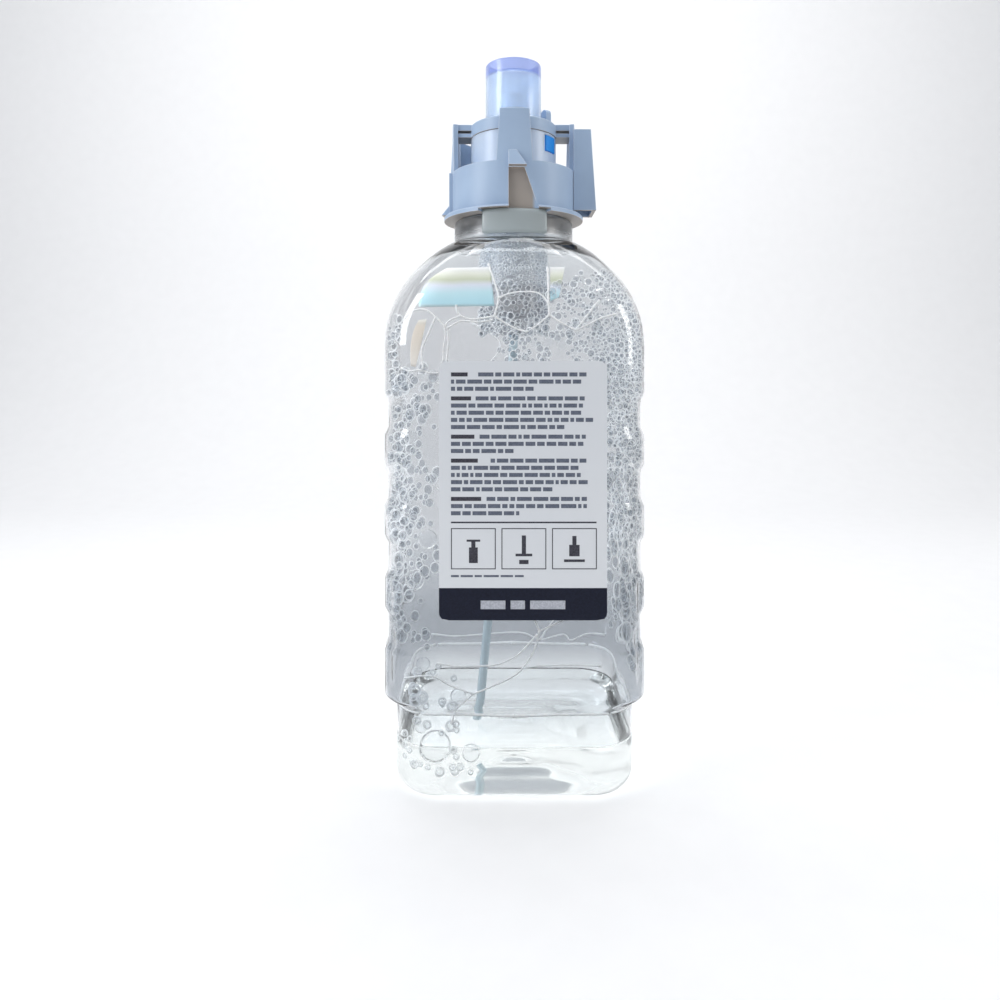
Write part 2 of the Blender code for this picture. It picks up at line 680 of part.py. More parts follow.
def make_collar():
    """Skirt with flange and deck, then posts, webs, ring, key wings and lugs joined to it."""
    inner = SKIRT_RADIUS - SKIRT_WALL
    rib = inner - SNAP_RIB
    rib_z = SKIRT_Z + SNAP_RIB_RISE
    flange_top = SKIRT_Z + FLANGE_THICKNESS
    hole = BOWL_RADIUS + FIT
    profile = (
        (hole, DECK_TOP_Z),
        (SKIRT_RADIUS, DECK_TOP_Z),
        (SKIRT_RADIUS, flange_top),
        (FLANGE_RADIUS - FLANGE_THICKNESS / 4, flange_top),
        (FLANGE_RADIUS, flange_top - FLANGE_THICKNESS / 4),
        (FLANGE_RADIUS, SKIRT_Z),
        (inner, SKIRT_Z),
        (inner, rib_z - SNAP_RIB),
        (rib, rib_z),
        (rib, rib_z + SNAP_RIB_HEIGHT),
        (inner, rib_z + SNAP_RIB_HEIGHT),
        (inner, DECK_Z),
        (hole, DECK_Z),
    )
    collar = revolve("collar", profile, GREY_BLUE)
    bore = SLEEVE_RADIUS + SLIP
    ring = revolve(
        "collar_ring",
        (
            (RING_RADIUS - FLANGE_THICKNESS / 4, RING_TOP_Z),
            (RING_RADIUS, RING_TOP_Z - FLANGE_THICKNESS / 4),
            (RING_RADIUS, RING_Z),
            (bore, RING_Z),
            (bore, RING_TOP_Z),
        ),
    )
    joined = [ring]
    web_near = RING_RADIUS - SLEEVE_WALL
    web_far = SKIRT_RADIUS - POST_THICKNESS / 2
    web_middle = (web_near + web_far) / 2
    for azimuth in (0.0, 90.0, 180.0, 270.0):
        joined.append(
            sector(
                f"post_{azimuth:.0f}",
                (SKIRT_RADIUS - POST_THICKNESS, SKIRT_RADIUS),
                (DECK_Z + DECK_THICKNESS / 2, RING_TOP_Z),
                (POST_HALF_WIDTH_FOOT, POST_HALF_WIDTH_TOP),
                azimuth,
                steps=6,
            )
        )
        for name, height, foot in (
            ("top_web", POST_TOP_WEB, RING_TOP_Z - POST_TOP_WEB),
            ("low_web", POST_LOW_WEB, RING_Z),
        ):
            joined.append(
                block(
                    f"{name}_{azimuth:.0f}",
                    (POST_WEB_WIDTH, web_far - web_near, height),
                    (0.0, -web_middle, foot + height / 2),
                    azimuth,
                )
            )
    joined.append(make_wing(SIDE_WING_AZIMUTH, SIDE_WING_DEPTH, 0.0))
    joined.append(make_wing(REAR_WING_AZIMUTH, REAR_WING_DEPTH, REAR_WING_SHORTER))
    pad_far = SKIRT_RADIUS + SIDE_PAD_PROUD
    joined.append(
        block(
            "side_pad",
            (2 * SIDE_PAD_HALF_WIDTH, pad_far - inner - SKIRT_WALL / 2, DECK_TOP_Z - SKIRT_Z),
            (0.0, -(pad_far + inner + SKIRT_WALL / 2) / 2, (DECK_TOP_Z + SKIRT_Z) / 2),
            270.0,
        )
    )
    joined += make_ramps()
    joined.append(make_top_tab())
    for piece in joined:
        combine(collar, piece, "UNION")
    notch_half = LUG_HALF_WIDTH + 2 * FIT
    notch_top = NECK_LEDGE_Z + LUG_RISE + FIT
    for azimuth in (0.0, 180.0):
        notch = sector(
            f"lug_notch_{azimuth:.0f}",
            (rib - SNAP_RIB, FLANGE_RADIUS + FLANGE_THICKNESS),
            (SKIRT_Z - FLANGE_THICKNESS, notch_top),
            [notch_half * (FLANGE_RADIUS + FLANGE_THICKNESS) / (NECK_ROOT_RADIUS + LUG_PROUD)] * 2,
            azimuth,
            steps=10,
        )
        combine(collar, notch, "DIFFERENCE")
    combine(collar, make_pocket(), "DIFFERENCE")
    return collar


def make_wing(azimuth, depth, shorter):
    """A hollow key, open below: a tapered box whose outer wall leans out towards its foot."""
    foot = SKIRT_Z + WING_FOOT_RISE
    top = RING_TOP_Z - WING_TOP_DROP
    near = SKIRT_RADIUS - POST_THICKNESS / 2
    half = depth / 2
    wing = wing_body(f"wing_{azimuth:.0f}", near, foot, top, half, shorter, azimuth)
    hollow = wing_body(
        f"wing_hollow_{azimuth:.0f}",
        SKIRT_RADIUS + WING_WALL / 2,
        foot - WING_WALL,
        top - WING_WALL,
        half - WING_WALL,
        shorter + WING_WALL,
        azimuth,
    )
    combine(wing, hollow, "DIFFERENCE")
    return wing


def wing_body(name, near, foot, top, half, shorter, azimuth):
    slope = (WING_REACH_FOOT - WING_REACH_TOP) / (RING_TOP_Z - SKIRT_Z)
    reach = [WING_REACH_TOP + slope * (RING_TOP_Z - z) - shorter for z in (foot, top)]
    bm = bmesh.new()
    bmesh.ops.create_cube(bm, size=1.0)
    for vert in bm.verts:
        level = 1 if vert.co.z > 0 else 0
        out = reach[level] if vert.co.y < 0 else near
        vert.co = Vector((2 * half * vert.co.x, -out, (foot, top)[level]))
    thing = add_object(name, bm)
    thing.rotation_euler.z = math.radians(azimuth)
    return thing


def make_ramps():
    """The latch ramp on the front, with its lip over the pocket, and a small one at the back."""
    lip = DECK_TOP_Z - RAMP_LIP_BELOW_DECK - DECK_THICKNESS
    front = ramp(
        "front_ramp", lip, RAMP_HEIGHT, RAMP_PROUD, RAMP_WIDTH_TOP, RAMP_WIDTH_LIP, RAMP_SHIFT, 0.0
    )
    rear = ramp(
        "rear_ramp",
        SKIRT_Z + FLANGE_THICKNESS + WING_FOOT_RISE / 2,
        REAR_RAMP_HEIGHT,
        REAR_RAMP_PROUD,
        REAR_RAMP_WIDTH,
        REAR_RAMP_WIDTH,
        0.0,
        REAR_RAMP_AZIMUTH,
    )
    return [front, rear]


def ramp(name, lip, height, proud, width_top, width_lip, shift, azimuth):
    """A wedge that starts flush with the skirt at its top and stands proud at its lip."""
    bm = bmesh.new()
    bmesh.ops.create_cube(bm, size=1.0)
    for vert in bm.verts:
        upper = vert.co.z > 0
        width = width_top if upper else width_lip
        outer = SKIRT_RADIUS + (SKIRT_WALL / 8 if upper else proud)
        reach = outer if vert.co.y < 0 else SKIRT_RADIUS - POST_THICKNESS / 2
        left = shift - RAMP_WIDTH_LIP / 2
        across = left if vert.co.x < 0 else left + width
        vert.co = Vector((across, -reach, lip + height if upper else lip))
    thing = add_object(name, bm)
    thing.rotation_euler.z = math.radians(azimuth)
    return thing


def make_pocket():
    """The right-angled pocket under the front ramp, which widens down to the skirt's edge."""
    left = RAMP_SHIFT - RAMP_WIDTH_LIP / 2
    top = DECK_TOP_Z - RAMP_LIP_BELOW_DECK - DECK_THICKNESS - FIT
    foot = SKIRT_Z - FLANGE_THICKNESS
    outline = (
        (left, top),
        (left + POCKET_WIDTH_TOP, top),
        (left + POCKET_WIDTH_FOOT, foot),
        (left, foot),
    )
    depth = (SKIRT_RADIUS - POCKET_DEPTH, FLANGE_RADIUS + FLANGE_THICKNESS)
    return prism("latch_pocket", outline, depth)


def make_top_tab():
    """A small round-topped tab that stands on the ring."""
    half = TOP_TAB_WIDTH / 2
    foot = RING_TOP_Z - RING_HEIGHT / 2
    crown = RING_TOP_Z + TOP_TAB_HEIGHT - half
    outline = [(-half, foot), (half, foot)]
    outline += [
        (half * math.cos(i * math.pi / 8), crown + half * math.sin(i * math.pi / 8))
        for i in range(9)
    ]
    depth = (TOP_TAB_RADIUS - TOP_TAB_THICKNESS / 2, TOP_TAB_RADIUS + TOP_TAB_THICKNESS / 2)
    return prism("top_tab", outline, depth, TOP_TAB_AZIMUTH)


def make_sleeve():
    """Outer skirt with its stop, socket and cone, and the inner stem that drives the pistons."""
    bore = SLEEVE_RADIUS - SLEEVE_WALL
    stem = STEM_BORE + STEM_WALL
    stop = SLEEVE_RADIUS + SLEEVE_STOP_REACH
    stop_foot = SLEEVE_STOP_Z - SLEEVE_STOP_THICKNESS
    cone_top = SLEEVE_TOP_Z - SOCKET_DEPTH
    throat = cone_top - SOCKET_CONE
    ceiling = throat - SLEEVE_WALL
    profile = (
        (SLEEVE_RADIUS - SLEEVE_RIM_ROUND, SLEEVE_TOP_Z),
        (SLEEVE_RADIUS - SLEEVE_RIM_ROUND * 0.3, SLEEVE_TOP_Z - SLEEVE_RIM_ROUND * 0.3),
        (SLEEVE_RADIUS, SLEEVE_TOP_Z - SLEEVE_RIM_ROUND),
        (SLEEVE_RADIUS, SLEEVE_STOP_Z),
        (stop, SLEEVE_STOP_Z),
        (stop, stop_foot),
        (bore, stop_foot),
        (bore, cone_top - SLEEVE_WALL),
        (stem, throat),
        (stem, STEM_FOOT_Z),
        (STEM_BORE, STEM_FOOT_Z),
        (STEM_BORE, ceiling),
        (OUTLET_BORE, ceiling),
        (OUTLET_BORE, throat),
        (bore - SLEEVE_WALL / 4, cone_top),
        (bore - SLEEVE_WALL / 4, SLEEVE_TOP_Z),
    )
    return revolve("outlet_sleeve", profile, OUTLET_BLUE, steps=36)


def make_cartridge():
    """A plain tube up against the sleeve's ceiling, with a mesh at each end."""
    outer = STEM_BORE - FIT
    ceiling = SLEEVE_TOP_Z - SOCKET_DEPTH - SOCKET_CONE - SLEEVE_WALL
    top = ceiling - MESH_THICKNESS - 2 * FIT
    foot = top - CARTRIDGE_LENGTH
    profile = (
        (outer, top),
        (outer, foot),
        (outer - CARTRIDGE_WALL, foot),
        (outer - CARTRIDGE_WALL, top),
    )
    cartridge = revolve("mesh_cartridge", profile, WHITE, steps=SMALL_STEPS)
    upper = rod("upper_mesh", outer, top + FIT, top + FIT + MESH_THICKNESS, look=WHITE)
    lower = rod("lower_mesh", outer, foot - FIT - MESH_THICKNESS, foot - FIT, look=WHITE)
    return [cartridge, upper, lower]


def make_air_piston():
    """Web with a two-way lip in the air cylinder, vents, and a hub that plugs into the stem."""
    lip_outer = AIR_BORE - SLIP
    lip_inner = lip_outer - PISTON_LIP_THICKNESS
    hub_outer = STEM_BORE - FIT
    hub_bore = LIQUID_STEM_RADIUS + FIT
    profile = (
        (lip_outer, WEB_TOP_Z + PISTON_LIP),
        (lip_outer, WEB_Z - PISTON_LIP),
        (lip_inner, WEB_Z - PISTON_LIP),
        (lip_inner, WEB_Z),
        (hub_bore, WEB_Z),
        (hub_bore, HUB_TOP_Z),
        (hub_outer, HUB_TOP_Z),
        (hub_outer, WEB_TOP_Z),
        (lip_inner, WEB_TOP_Z),
        (lip_inner, WEB_TOP_Z + PISTON_LIP),
    )
    piston = revolve("air_piston", profile, WHITE, steps=SMALL_STEPS)
    for i in range(PISTON_VENTS):
        angle = i * math.tau / PISTON_VENTS
        distance = lip_inner - AIR_VALVE_WIDTH / 2 - FIT
        vent = rod(
            f"piston_vent_{i + 1}",
            PISTON_VENT_RADIUS,
            WEB_Z - PISTON_WEB,
            WEB_TOP_Z + PISTON_WEB,
            (distance * math.cos(angle), distance * math.sin(angle)),
            steps=8,
        )
        combine(piston, vent, "DIFFERENCE")
    return piston


def make_air_valve():
    outer = AIR_BORE - SLIP - PISTON_LIP_THICKNESS - FIT
    inner = outer - AIR_VALVE_WIDTH
    foot = WEB_TOP_Z + FIT
    profile = (
        (outer, foot + AIR_VALVE_THICKNESS),
        (outer, foot),
        (inner, foot),
        (inner, foot + AIR_VALVE_THICKNESS),
    )
    return revolve("air_valve", profile, RUBBER, steps=SMALL_STEPS)


def make_liquid_piston():
    """A hollow stem whose head sits on the air piston's hub and whose lip seals the small bore."""
    lip = LIQUID_BORE - SLIP
    head = STEM_BORE - FIT
    chamfer = STEM_HEAD / 2
    profile = (
        (head, OUTLET_SEAT_Z + chamfer),
        (head, STEM_HEAD_Z),
        (LIQUID_STEM_RADIUS, STEM_HEAD_Z),
        (LIQUID_STEM_RADIUS, LIQUID_PISTON_Z + LIQUID_LIP_HEIGHT),
        (lip, LIQUID_PISTON_Z + LIQUID_LIP_HEIGHT / 2),
        (lip, LIQUID_PISTON_Z),
        (LIQUID_STEM_BORE, LIQUID_PISTON_Z),
        (LIQUID_STEM_BORE, OUTLET_SEAT_Z),
        (LIQUID_STEM_BORE + chamfer, OUTLET_SEAT_Z + chamfer),
    )
    return revolve("liquid_piston", profile, WHITE, steps=TINY_STEPS)


def make_valve_balls():
    inlet = INLET_SEAT_Z + seat_height(VALVE_BALL_RADIUS, INLET_HOLE) + FIT
    outlet = OUTLET_SEAT_Z + seat_height(VALVE_BALL_RADIUS, LIQUID_STEM_BORE) + FIT
    return [
        ball("inlet_ball", VALVE_BALL_RADIUS, inlet, STEEL),
        ball("outlet_ball", VALVE_BALL_RADIUS, outlet, STEEL),
    ]


def make_retainer():
    """A slotted disc over the inlet ball."""
    ball_top = INLET_SEAT_Z + seat_height(VALVE_BALL_RADIUS, INLET_HOLE) + VALVE_BALL_RADIUS
    foot = ball_top + RETAINER_ABOVE_BALL
    top = foot + RETAINER_THICKNESS
    outer = LIQUID_BORE - FIT
    profile = ((outer, top), (outer, foot), (RETAINER_HOLE, foot), (RETAINER_HOLE, top))
    retainer = revolve("ball_retainer", profile, WHITE, steps=TINY_STEPS)
    slot_length = 2 * (outer - RETAINER_SLOT)
    for azimuth in (0.0, 90.0):
        slot = block(
            f"retainer_slot_{azimuth:.0f}",
            (slot_length, RETAINER_SLOT, 3 * RETAINER_THICKNESS),
            (0.0, 0.0, foot + RETAINER_THICKNESS / 2),
            azimuth,
        )
        combine(retainer, slot, "DIFFERENCE")
    return retainer


def make_spring():
    """A coil round the liquid cylinder, closed at both ends, from the cylinder's floor to the web."""
    wire = SPRING_WIRE / 2
    foot = AIR_FLOOR_Z + FIT + wire
    top = WEB_Z - FIT - wire
    dead_pitch = SPRING_WIRE + FIT
    live_turns = SPRING_TURNS - 2 * SPRING_DEAD_TURNS
    live_pitch = (top - foot - 2 * SPRING_DEAD_TURNS * dead_pitch) / live_turns
    per_turn = 10
    height = foot
    points = []
    for i in range(SPRING_TURNS * per_turn + 1):
        turn = i / per_turn
        angle = math.tau * turn
        points.append((SPRING_RADIUS * math.cos(angle), SPRING_RADIUS * math.sin(angle), height))
        dead = turn < SPRING_DEAD_TURNS or turn >= SPRING_TURNS - SPRING_DEAD_TURNS
        height += (dead_pitch if dead else live_pitch) / per_turn
    return sweep("return_spring", points, wire, 1, STEEL, caps=True)


def main():
    head = bpy.data.objects.new("pump_head_axis", None)
    pieces.objects.link(head)
    head.location.z = SLEEVE_STOP_Z
    make_bottle()
    make_soap()
    make_label()
    make_housing()
    make_key_tab()
    make_gasket()
    make_collar()
    make_dip_tube()
    make_retainer()
    make_spring()
    inlet_ball, outlet_ball = make_valve_balls()
    moving = [
        make_sleeve(),
        *make_cartridge(),
        make_air_piston(),
        make_air_valve(),
        make_liquid_piston(),
        outlet_ball,
    ]
    for piece in moving:
        piece.parent = head
        piece.location.z -= head.location.z


clear_scene()
pieces = new_collection("Soap refill")
tools = new_collection("Cutters")
main()
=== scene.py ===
# %% [markdown]
# # A clear refill pack of foaming hand soap
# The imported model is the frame: every piece made below sits in it, in metres, with +Z up and the
# label facing -Y. Loading it first means that nothing has to be fitted or scaled afterwards.

# %% Load the frame
import math

import bmesh
import bpy
import numpy as np
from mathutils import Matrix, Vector


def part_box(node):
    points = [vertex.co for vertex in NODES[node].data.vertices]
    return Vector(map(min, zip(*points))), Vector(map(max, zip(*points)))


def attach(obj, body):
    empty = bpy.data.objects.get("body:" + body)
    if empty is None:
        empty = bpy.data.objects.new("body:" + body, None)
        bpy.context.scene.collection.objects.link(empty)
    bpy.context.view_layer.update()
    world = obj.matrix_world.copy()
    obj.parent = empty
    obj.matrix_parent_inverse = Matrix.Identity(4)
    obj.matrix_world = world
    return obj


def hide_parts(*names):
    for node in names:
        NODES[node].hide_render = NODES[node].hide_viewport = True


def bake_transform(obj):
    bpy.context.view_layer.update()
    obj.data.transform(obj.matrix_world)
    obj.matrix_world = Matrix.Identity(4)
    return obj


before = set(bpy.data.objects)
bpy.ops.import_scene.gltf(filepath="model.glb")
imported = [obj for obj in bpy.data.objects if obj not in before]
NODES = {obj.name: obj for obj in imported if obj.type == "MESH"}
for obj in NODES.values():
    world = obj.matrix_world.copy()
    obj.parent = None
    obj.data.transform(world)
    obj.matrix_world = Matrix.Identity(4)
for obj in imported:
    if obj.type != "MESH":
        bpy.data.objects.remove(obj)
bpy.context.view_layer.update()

# %% [markdown]
# ## Camera
# The photograph was taken from close by, a little above the label, with the sensor held upright:
# the sides of the bottle run parallel and only the far edges look smaller. A wide lens at 0.33 m
# gives that. The horizon lies above the picture's middle, and a small lens shift puts it there
# without tilting the camera, so that upright edges stay upright.

# %% Camera at the photograph's place
EYE_X, EYE_BACK, EYE_Z = -0.00587, 0.328, 0.1689


def linked(name, data):
    """A new object in the scene that holds this data."""
    thing = bpy.data.objects.new(name, data)
    bpy.context.scene.collection.objects.link(thing)
    return thing


lens = bpy.data.cameras.new("photo_camera")
lens.sensor_width = 36.0
lens.lens = 26.96
lens.shift_y = -0.132
lens.clip_start = 0.01
camera = linked("photo_camera", lens)
camera.location = (EYE_X, -EYE_BACK, EYE_Z)
camera.rotation_euler = (math.pi / 2, 0.0, 0.0)
bpy.context.scene.camera = camera
print("camera to label, mm:", round(1000 * (EYE_BACK - 0.0405)))

# %% [markdown]
# ## Grid surfaces
# Every new piece is a grid of points: rows along one parameter and columns round the other. A
# shape, as it is called here, is its array of points with a list of arrays of quads or triangles.
# Points go in as whole arrays, which is fast and keeps each shape's formula in one place.

# %% Helpers for meshes
def grid_faces(rows, columns, wrap):
    """Quads between neighbours of a grid. With wrap, the last column meets the first."""
    span = np.arange(columns if wrap else columns - 1)
    r, c = np.meshgrid(np.arange(rows - 1), span, indexing="ij")
    right, up = (c + 1) % columns, r + 1
    quads = [r * columns + c, r * columns + right, up * columns + right, up * columns + c]
    return np.stack(quads, -1).reshape(-1, 4)


def mesh_object(name, shape, material, smooth=True):
    """An object in the scene, with its mesh made from a shape."""
    points, groups = shape
    loops = np.concatenate([group.reshape(-1) for group in groups])
    sides = np.concatenate([np.full(len(group), group.shape[1]) for group in groups])
    mesh = bpy.data.meshes.new(name)
    mesh.vertices.add(len(points))
    mesh.vertices.foreach_set("co", np.asarray(points, dtype=np.float32).reshape(-1))
    mesh.loops.add(len(loops))
    mesh.loops.foreach_set("vertex_index", loops.astype(np.int32))
    mesh.polygons.add(len(sides))
    mesh.polygons.foreach_set("loop_start", (np.cumsum(sides) - sides).astype(np.int32))
    mesh.update(calc_edges=True)
    mesh.polygons.foreach_set("use_smooth", np.full(len(sides), smooth))
    mesh.validate()
    mesh.materials.append(material)
    return linked(name, mesh)


def piece(name, shape, material, body="pack", smooth=True):
    """A finished piece that rides on a body."""
    thing = mesh_object(name, shape, material, smooth)
    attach(thing, body)
    print(f"{name}: {len(shape[0])} points, {sum(map(len, shape[1]))} faces")
    return thing


def closed_grid(grid):
    """The shape of a wrapped grid whose first and last row each close in one pole."""
    rows, columns = grid.shape[:2]
    poles = [grid[0].mean(0)[None], grid[-1].mean(0)[None]]
    here = np.arange(columns)
    after = (here + 1) % columns
    last = (rows - 1) * columns
    low = np.stack([np.full(columns, rows * columns), after, here], -1)
    high = np.stack([np.full(columns, rows * columns + 1), last + here, last + after], -1)
    faces = [grid_faces(rows, columns, True), np.concatenate([low, high])]
    return np.concatenate([grid.reshape(-1, 3), *poles]), faces


def merge(shapes):
    """Several shapes as one: the face numbers of each move on by the points before it."""
    before = np.cumsum([0] + [len(points) for points, _ in shapes])
    moved = [[group + first for group in groups] for (_, groups), first in zip(shapes, before)]
    return np.concatenate([p for p, _ in shapes]), [np.concatenate(kind) for kind in zip(*moved)]


def ease(value, start, end):
    """0 before start, 1 after end, and an S-curve between them."""
    share = np.clip((np.asarray(value, dtype=float) - start) / (end - start), 0.0, 1.0)
    return share * share * (3 - 2 * share)


# %% [markdown]
# ## Node helpers
# A material is a small network of nodes, and the same few steps come back in every one: add a
# node and feed its inputs, take the point on the piece, stir it by noise, and turn a value into a
# colour with a ramp. With a helper for each, a material below reads from its cause to its look.

# %% Helpers for materials
def new_material(name):
    """A material with an empty tree of nodes."""
    material = bpy.data.materials.new(name)
    material.use_nodes = True
    material.node_tree.nodes.clear()
    return material


def feed(material, value, socket):
    """Joins another node's output to an input, or sets the input to a plain value."""
    if isinstance(value, bpy.types.NodeSocket):
        material.node_tree.links.new(value, socket)
    else:
        socket.default_value = value


def node(material, kind, **settings):
    """Adds a node. A setting named like an input feeds it, and the others set the node itself."""
    made = material.node_tree.nodes.new("ShaderNode" + kind)
    for key, value in settings.items():
        socket = made.inputs.get(key.replace("_", " "))
        if socket is None:
            setattr(made, key, value)
        else:
            feed(material, value, socket)
    return made


def surface(material, shader):
    """The material's output, fed by a shader node."""
    node(material, "OutputMaterial", Surface=shader.outputs[0])
    return material


def object_place(material, scale=(1.0, 1.0, 1.0)):
    """The point on the piece in its own coordinates, stretched by a scale."""
    where = node(material, "TexCoord").outputs["Object"]
    return node(material, "Mapping", Vector=where, Scale=scale).outputs["Vector"]


def axes(material, scale=(1.0, 1.0, 1.0)):
    """The X, Y and Z of that point, each as a value."""
    return node(material, "SeparateXYZ", Vector=object_place(material, scale)).outputs


def noise(material, place, scale, detail, **settings):
    """Noise at a place, as a value."""
    made = node(material, "TexNoise", Vector=place, Scale=scale, Detail=detail, **settings)
    return made.outputs["Fac"]


def maths(material, kind, operation, *values):
    """The value that a Math or VectorMath node makes of other values."""
    made = node(material, kind, operation=operation)
    for value, socket in zip(values, made.inputs):
        feed(material, value, socket)
    return made.outputs["Value"]


def map_range(material, value, start, end, low=0.0, high=1.0):
    """A value carried from one range to another."""
    ends = {"From_Min": start, "From_Max": end, "To_Min": low, "To_Max": high}
    return node(material, "MapRange", Value=value, **ends).outputs[0]


def ramp(material, source, stops):
    """A colour ramp through (position, colour) stops, fed by a value. A number is a grey."""
    made = node(material, "ValToRGB", Fac=source)
    band = made.color_ramp
    while len(band.elements) < len(stops):
        band.elements.new(0.5)
    for element, (position, colour) in zip(band.elements, stops):
        element.position = position
        element.color = (*np.broadcast_to(colour, 3), 1.0)
    return made.outputs["Color"]


def mix(material, share, base, other, blend="MULTIPLY"):
    """A colour multiplied by another, or blended with it in another way, by a share."""
    made = node(material, "Mix", data_type="RGBA", blend_type=blend)
    for value, index in ((share, 0), (base, 6), (other, 7)):
        feed(material, value, made.inputs[index])
    return made.outputs[2]


def mix_shaders(material, share, first, second):
    """A shader between two others, by a share."""
    made = node(material, "MixShader", Fac=share)
    feed(material, first.outputs[0], made.inputs[1])
    feed(material, second.outputs[0], made.inputs[2])
    return made


# %% [markdown]
# ## Floor and light
# Clear plastic has no colour of its own: it shows what stands round it. A white sweep behind the
# bottle shines through its middle, and a darker room at both sides draws its edges as grey lines.
# The sweep is one profile, flat and then curving upwards, drawn out to the sides.

# %% The pale sweep
def sweep_profile():
    """Flat floor, a quarter circle of 0.35 m and a straight wall: (y, z) from front to back."""
    bend = np.linspace(0.0, np.pi / 2, 25)
    curve = np.stack([0.55 + 0.35 * np.sin(bend), 0.35 - 0.35 * np.cos(bend)], -1)
    return np.concatenate([[(-1.1, 0.0), (-0.3, 0.0), (0.2, 0.0)], curve, [(0.9, 1.3)]])


PAPER = new_material("pale_paper")
mottle = noise(PAPER, object_place(PAPER), 60.0, 3.0)
tone = ramp(PAPER, mottle, [(0.3, (0.925, 0.925, 0.93)), (0.7, (0.94, 0.94, 0.945))])
surface(PAPER, node(PAPER, "BsdfPrincipled", Base_Color=tone, Roughness=0.8))

profile = sweep_profile()
across = np.linspace(-1.0, 1.0, 3)
sweep = np.stack(np.broadcast_arrays(across, profile[:, :1], profile[:, 1:]), -1)
sweep_faces = grid_faces(len(profile), 3, False)[:, ::-1]
floor = mesh_object("floor_sweep", (sweep.reshape(-1, 3), [sweep_faces]), PAPER)
print("sweep: 2 m wide, wall 0.9 m behind the pack")


# %% Soft lights and a grey room
def soft_light(name, place, target, size, power, colour=(1.0, 1.0, 1.0)):
    """A rectangular area light at a place, turned towards a target."""
    data = bpy.data.lights.new(name, "AREA")
    data.shape = "RECTANGLE"
    data.size, data.size_y = size
    data.energy = power
    data.color = colour
    light = linked(name, data)
    light.location = place
    light.rotation_euler = (Vector(target) - Vector(place)).to_track_quat("-Z", "Y").to_euler()


SHOULDERS = (0.0, 0.0, 0.16)
soft_light("overhead", (0.0, -0.05, 1.15), (0.0, 0.05, 0.0), (0.5, 0.32), 2.8)
soft_light("backdrop_wash", (0.0, 0.25, 1.05), (0.0, 0.9, 0.25), (1.4, 0.3), 3.4)
soft_light("window_left", (-0.75, -0.35, 0.55), SHOULDERS, (0.30, 0.7), 4.0, (0.97, 0.98, 1.0))
soft_light("fill_right", (0.85, -0.25, 0.45), SHOULDERS, (0.25, 0.6), 2.0, (1.0, 0.98, 0.95))

world = bpy.data.worlds.new("studio_room")
world.use_nodes = True
room = world.node_tree.nodes["Background"]
room.inputs["Color"].default_value = (0.54, 0.555, 0.58, 1.0)
room.inputs["Strength"].default_value = 0.80
bpy.context.scene.world = world
bpy.context.scene.view_settings.view_transform = "Standard"
cycles = bpy.context.scene.cycles
cycles.max_bounces = 20
cycles.transmission_bounces = 16
cycles.transparent_max_bounces = 48
cycles.glossy_bounces = 6
cycles.diffuse_bounces = 4
print("four area lights and a grey room")

# %% [markdown]
# ## The bottle's form
# The real bottle is blown from a clear preform into a mould, so it has no sharp edge anywhere and
# its wall is thinnest at the corners. Its plan is a rounded rectangle that turns into a circle at
# the neck. One formula for the half width, the half depth and the corner at each height, and one
# for where a ray from the axis meets that rounded rectangle, give every point of the wall. Soap,
# suds and film lines use the same two functions, so that they always lie on the wall.

# %% Width, depth and corner at a height
WALL = 0.0008
NECK_WALL = 0.0020
GRIP_TOPS = np.array([0.0720, 0.1005, 0.1290, 0.1575])
BASE_STEP = (0.0346, 0.0392)
SHOULDER = 0.1760
NECK_ROOT = 0.2230
NECK_RADIUS = 0.0257
FOOT_HALF_WIDTH, FOOT_HALF_DEPTH, FOOT_CORNER = 0.0478, 0.0388, 0.0170
BODY_HALF_WIDTH = 0.0526
BOTTLE_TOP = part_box("bottle")[1].z
LEDGE = BOTTLE_TOP - 0.0156


def plan(height):
    """Half width, half depth and corner radius of the outer wall at each height.

    Up to 35 mm it is the narrower base, then a 4.8 mm step. Four recesses, each 14 mm tall and
    1.6 mm deep with eased ends, pull the sides in. From 176 mm the half width follows
    (1 - s^2.2)^0.85, with s the share of the shoulder that is passed, and from 186 mm the half
    depth follows (1 - t^1.7)^0.85, so that both reach the neck's radius at 223 mm.
    """
    height = np.asarray(height, dtype=float)
    step = ease(height, *BASE_STEP)
    recess = np.zeros_like(height)
    for top in GRIP_TOPS:
        recess += ease(height, top - 0.0160, top - 0.0118)
        recess -= ease(height, top - 0.0020, top + 0.0018)
    share = np.clip((height - SHOULDER) / (NECK_ROOT - SHOULDER), 0.0, 1.0)
    late = np.clip((height - 0.1860) / (NECK_ROOT - 0.1860), 0.0, 1.0)
    upper = NECK_RADIUS + (BODY_HALF_WIDTH - NECK_RADIUS) * (1 - share**2.2) ** 0.85
    body = FOOT_HALF_WIDTH + 0.0048 * step - 0.0016 * recess
    half_width = np.where(height > SHOULDER, upper, body)
    depth = FOOT_HALF_DEPTH + 0.0012 * step
    half_depth = NECK_RADIUS + (depth - NECK_RADIUS) * (1 - late**1.7) ** 0.85
    corner = FOOT_CORNER + (NECK_RADIUS - FOOT_CORNER) * share**2
    return half_width, half_depth, np.minimum(corner, np.minimum(half_width, half_depth))


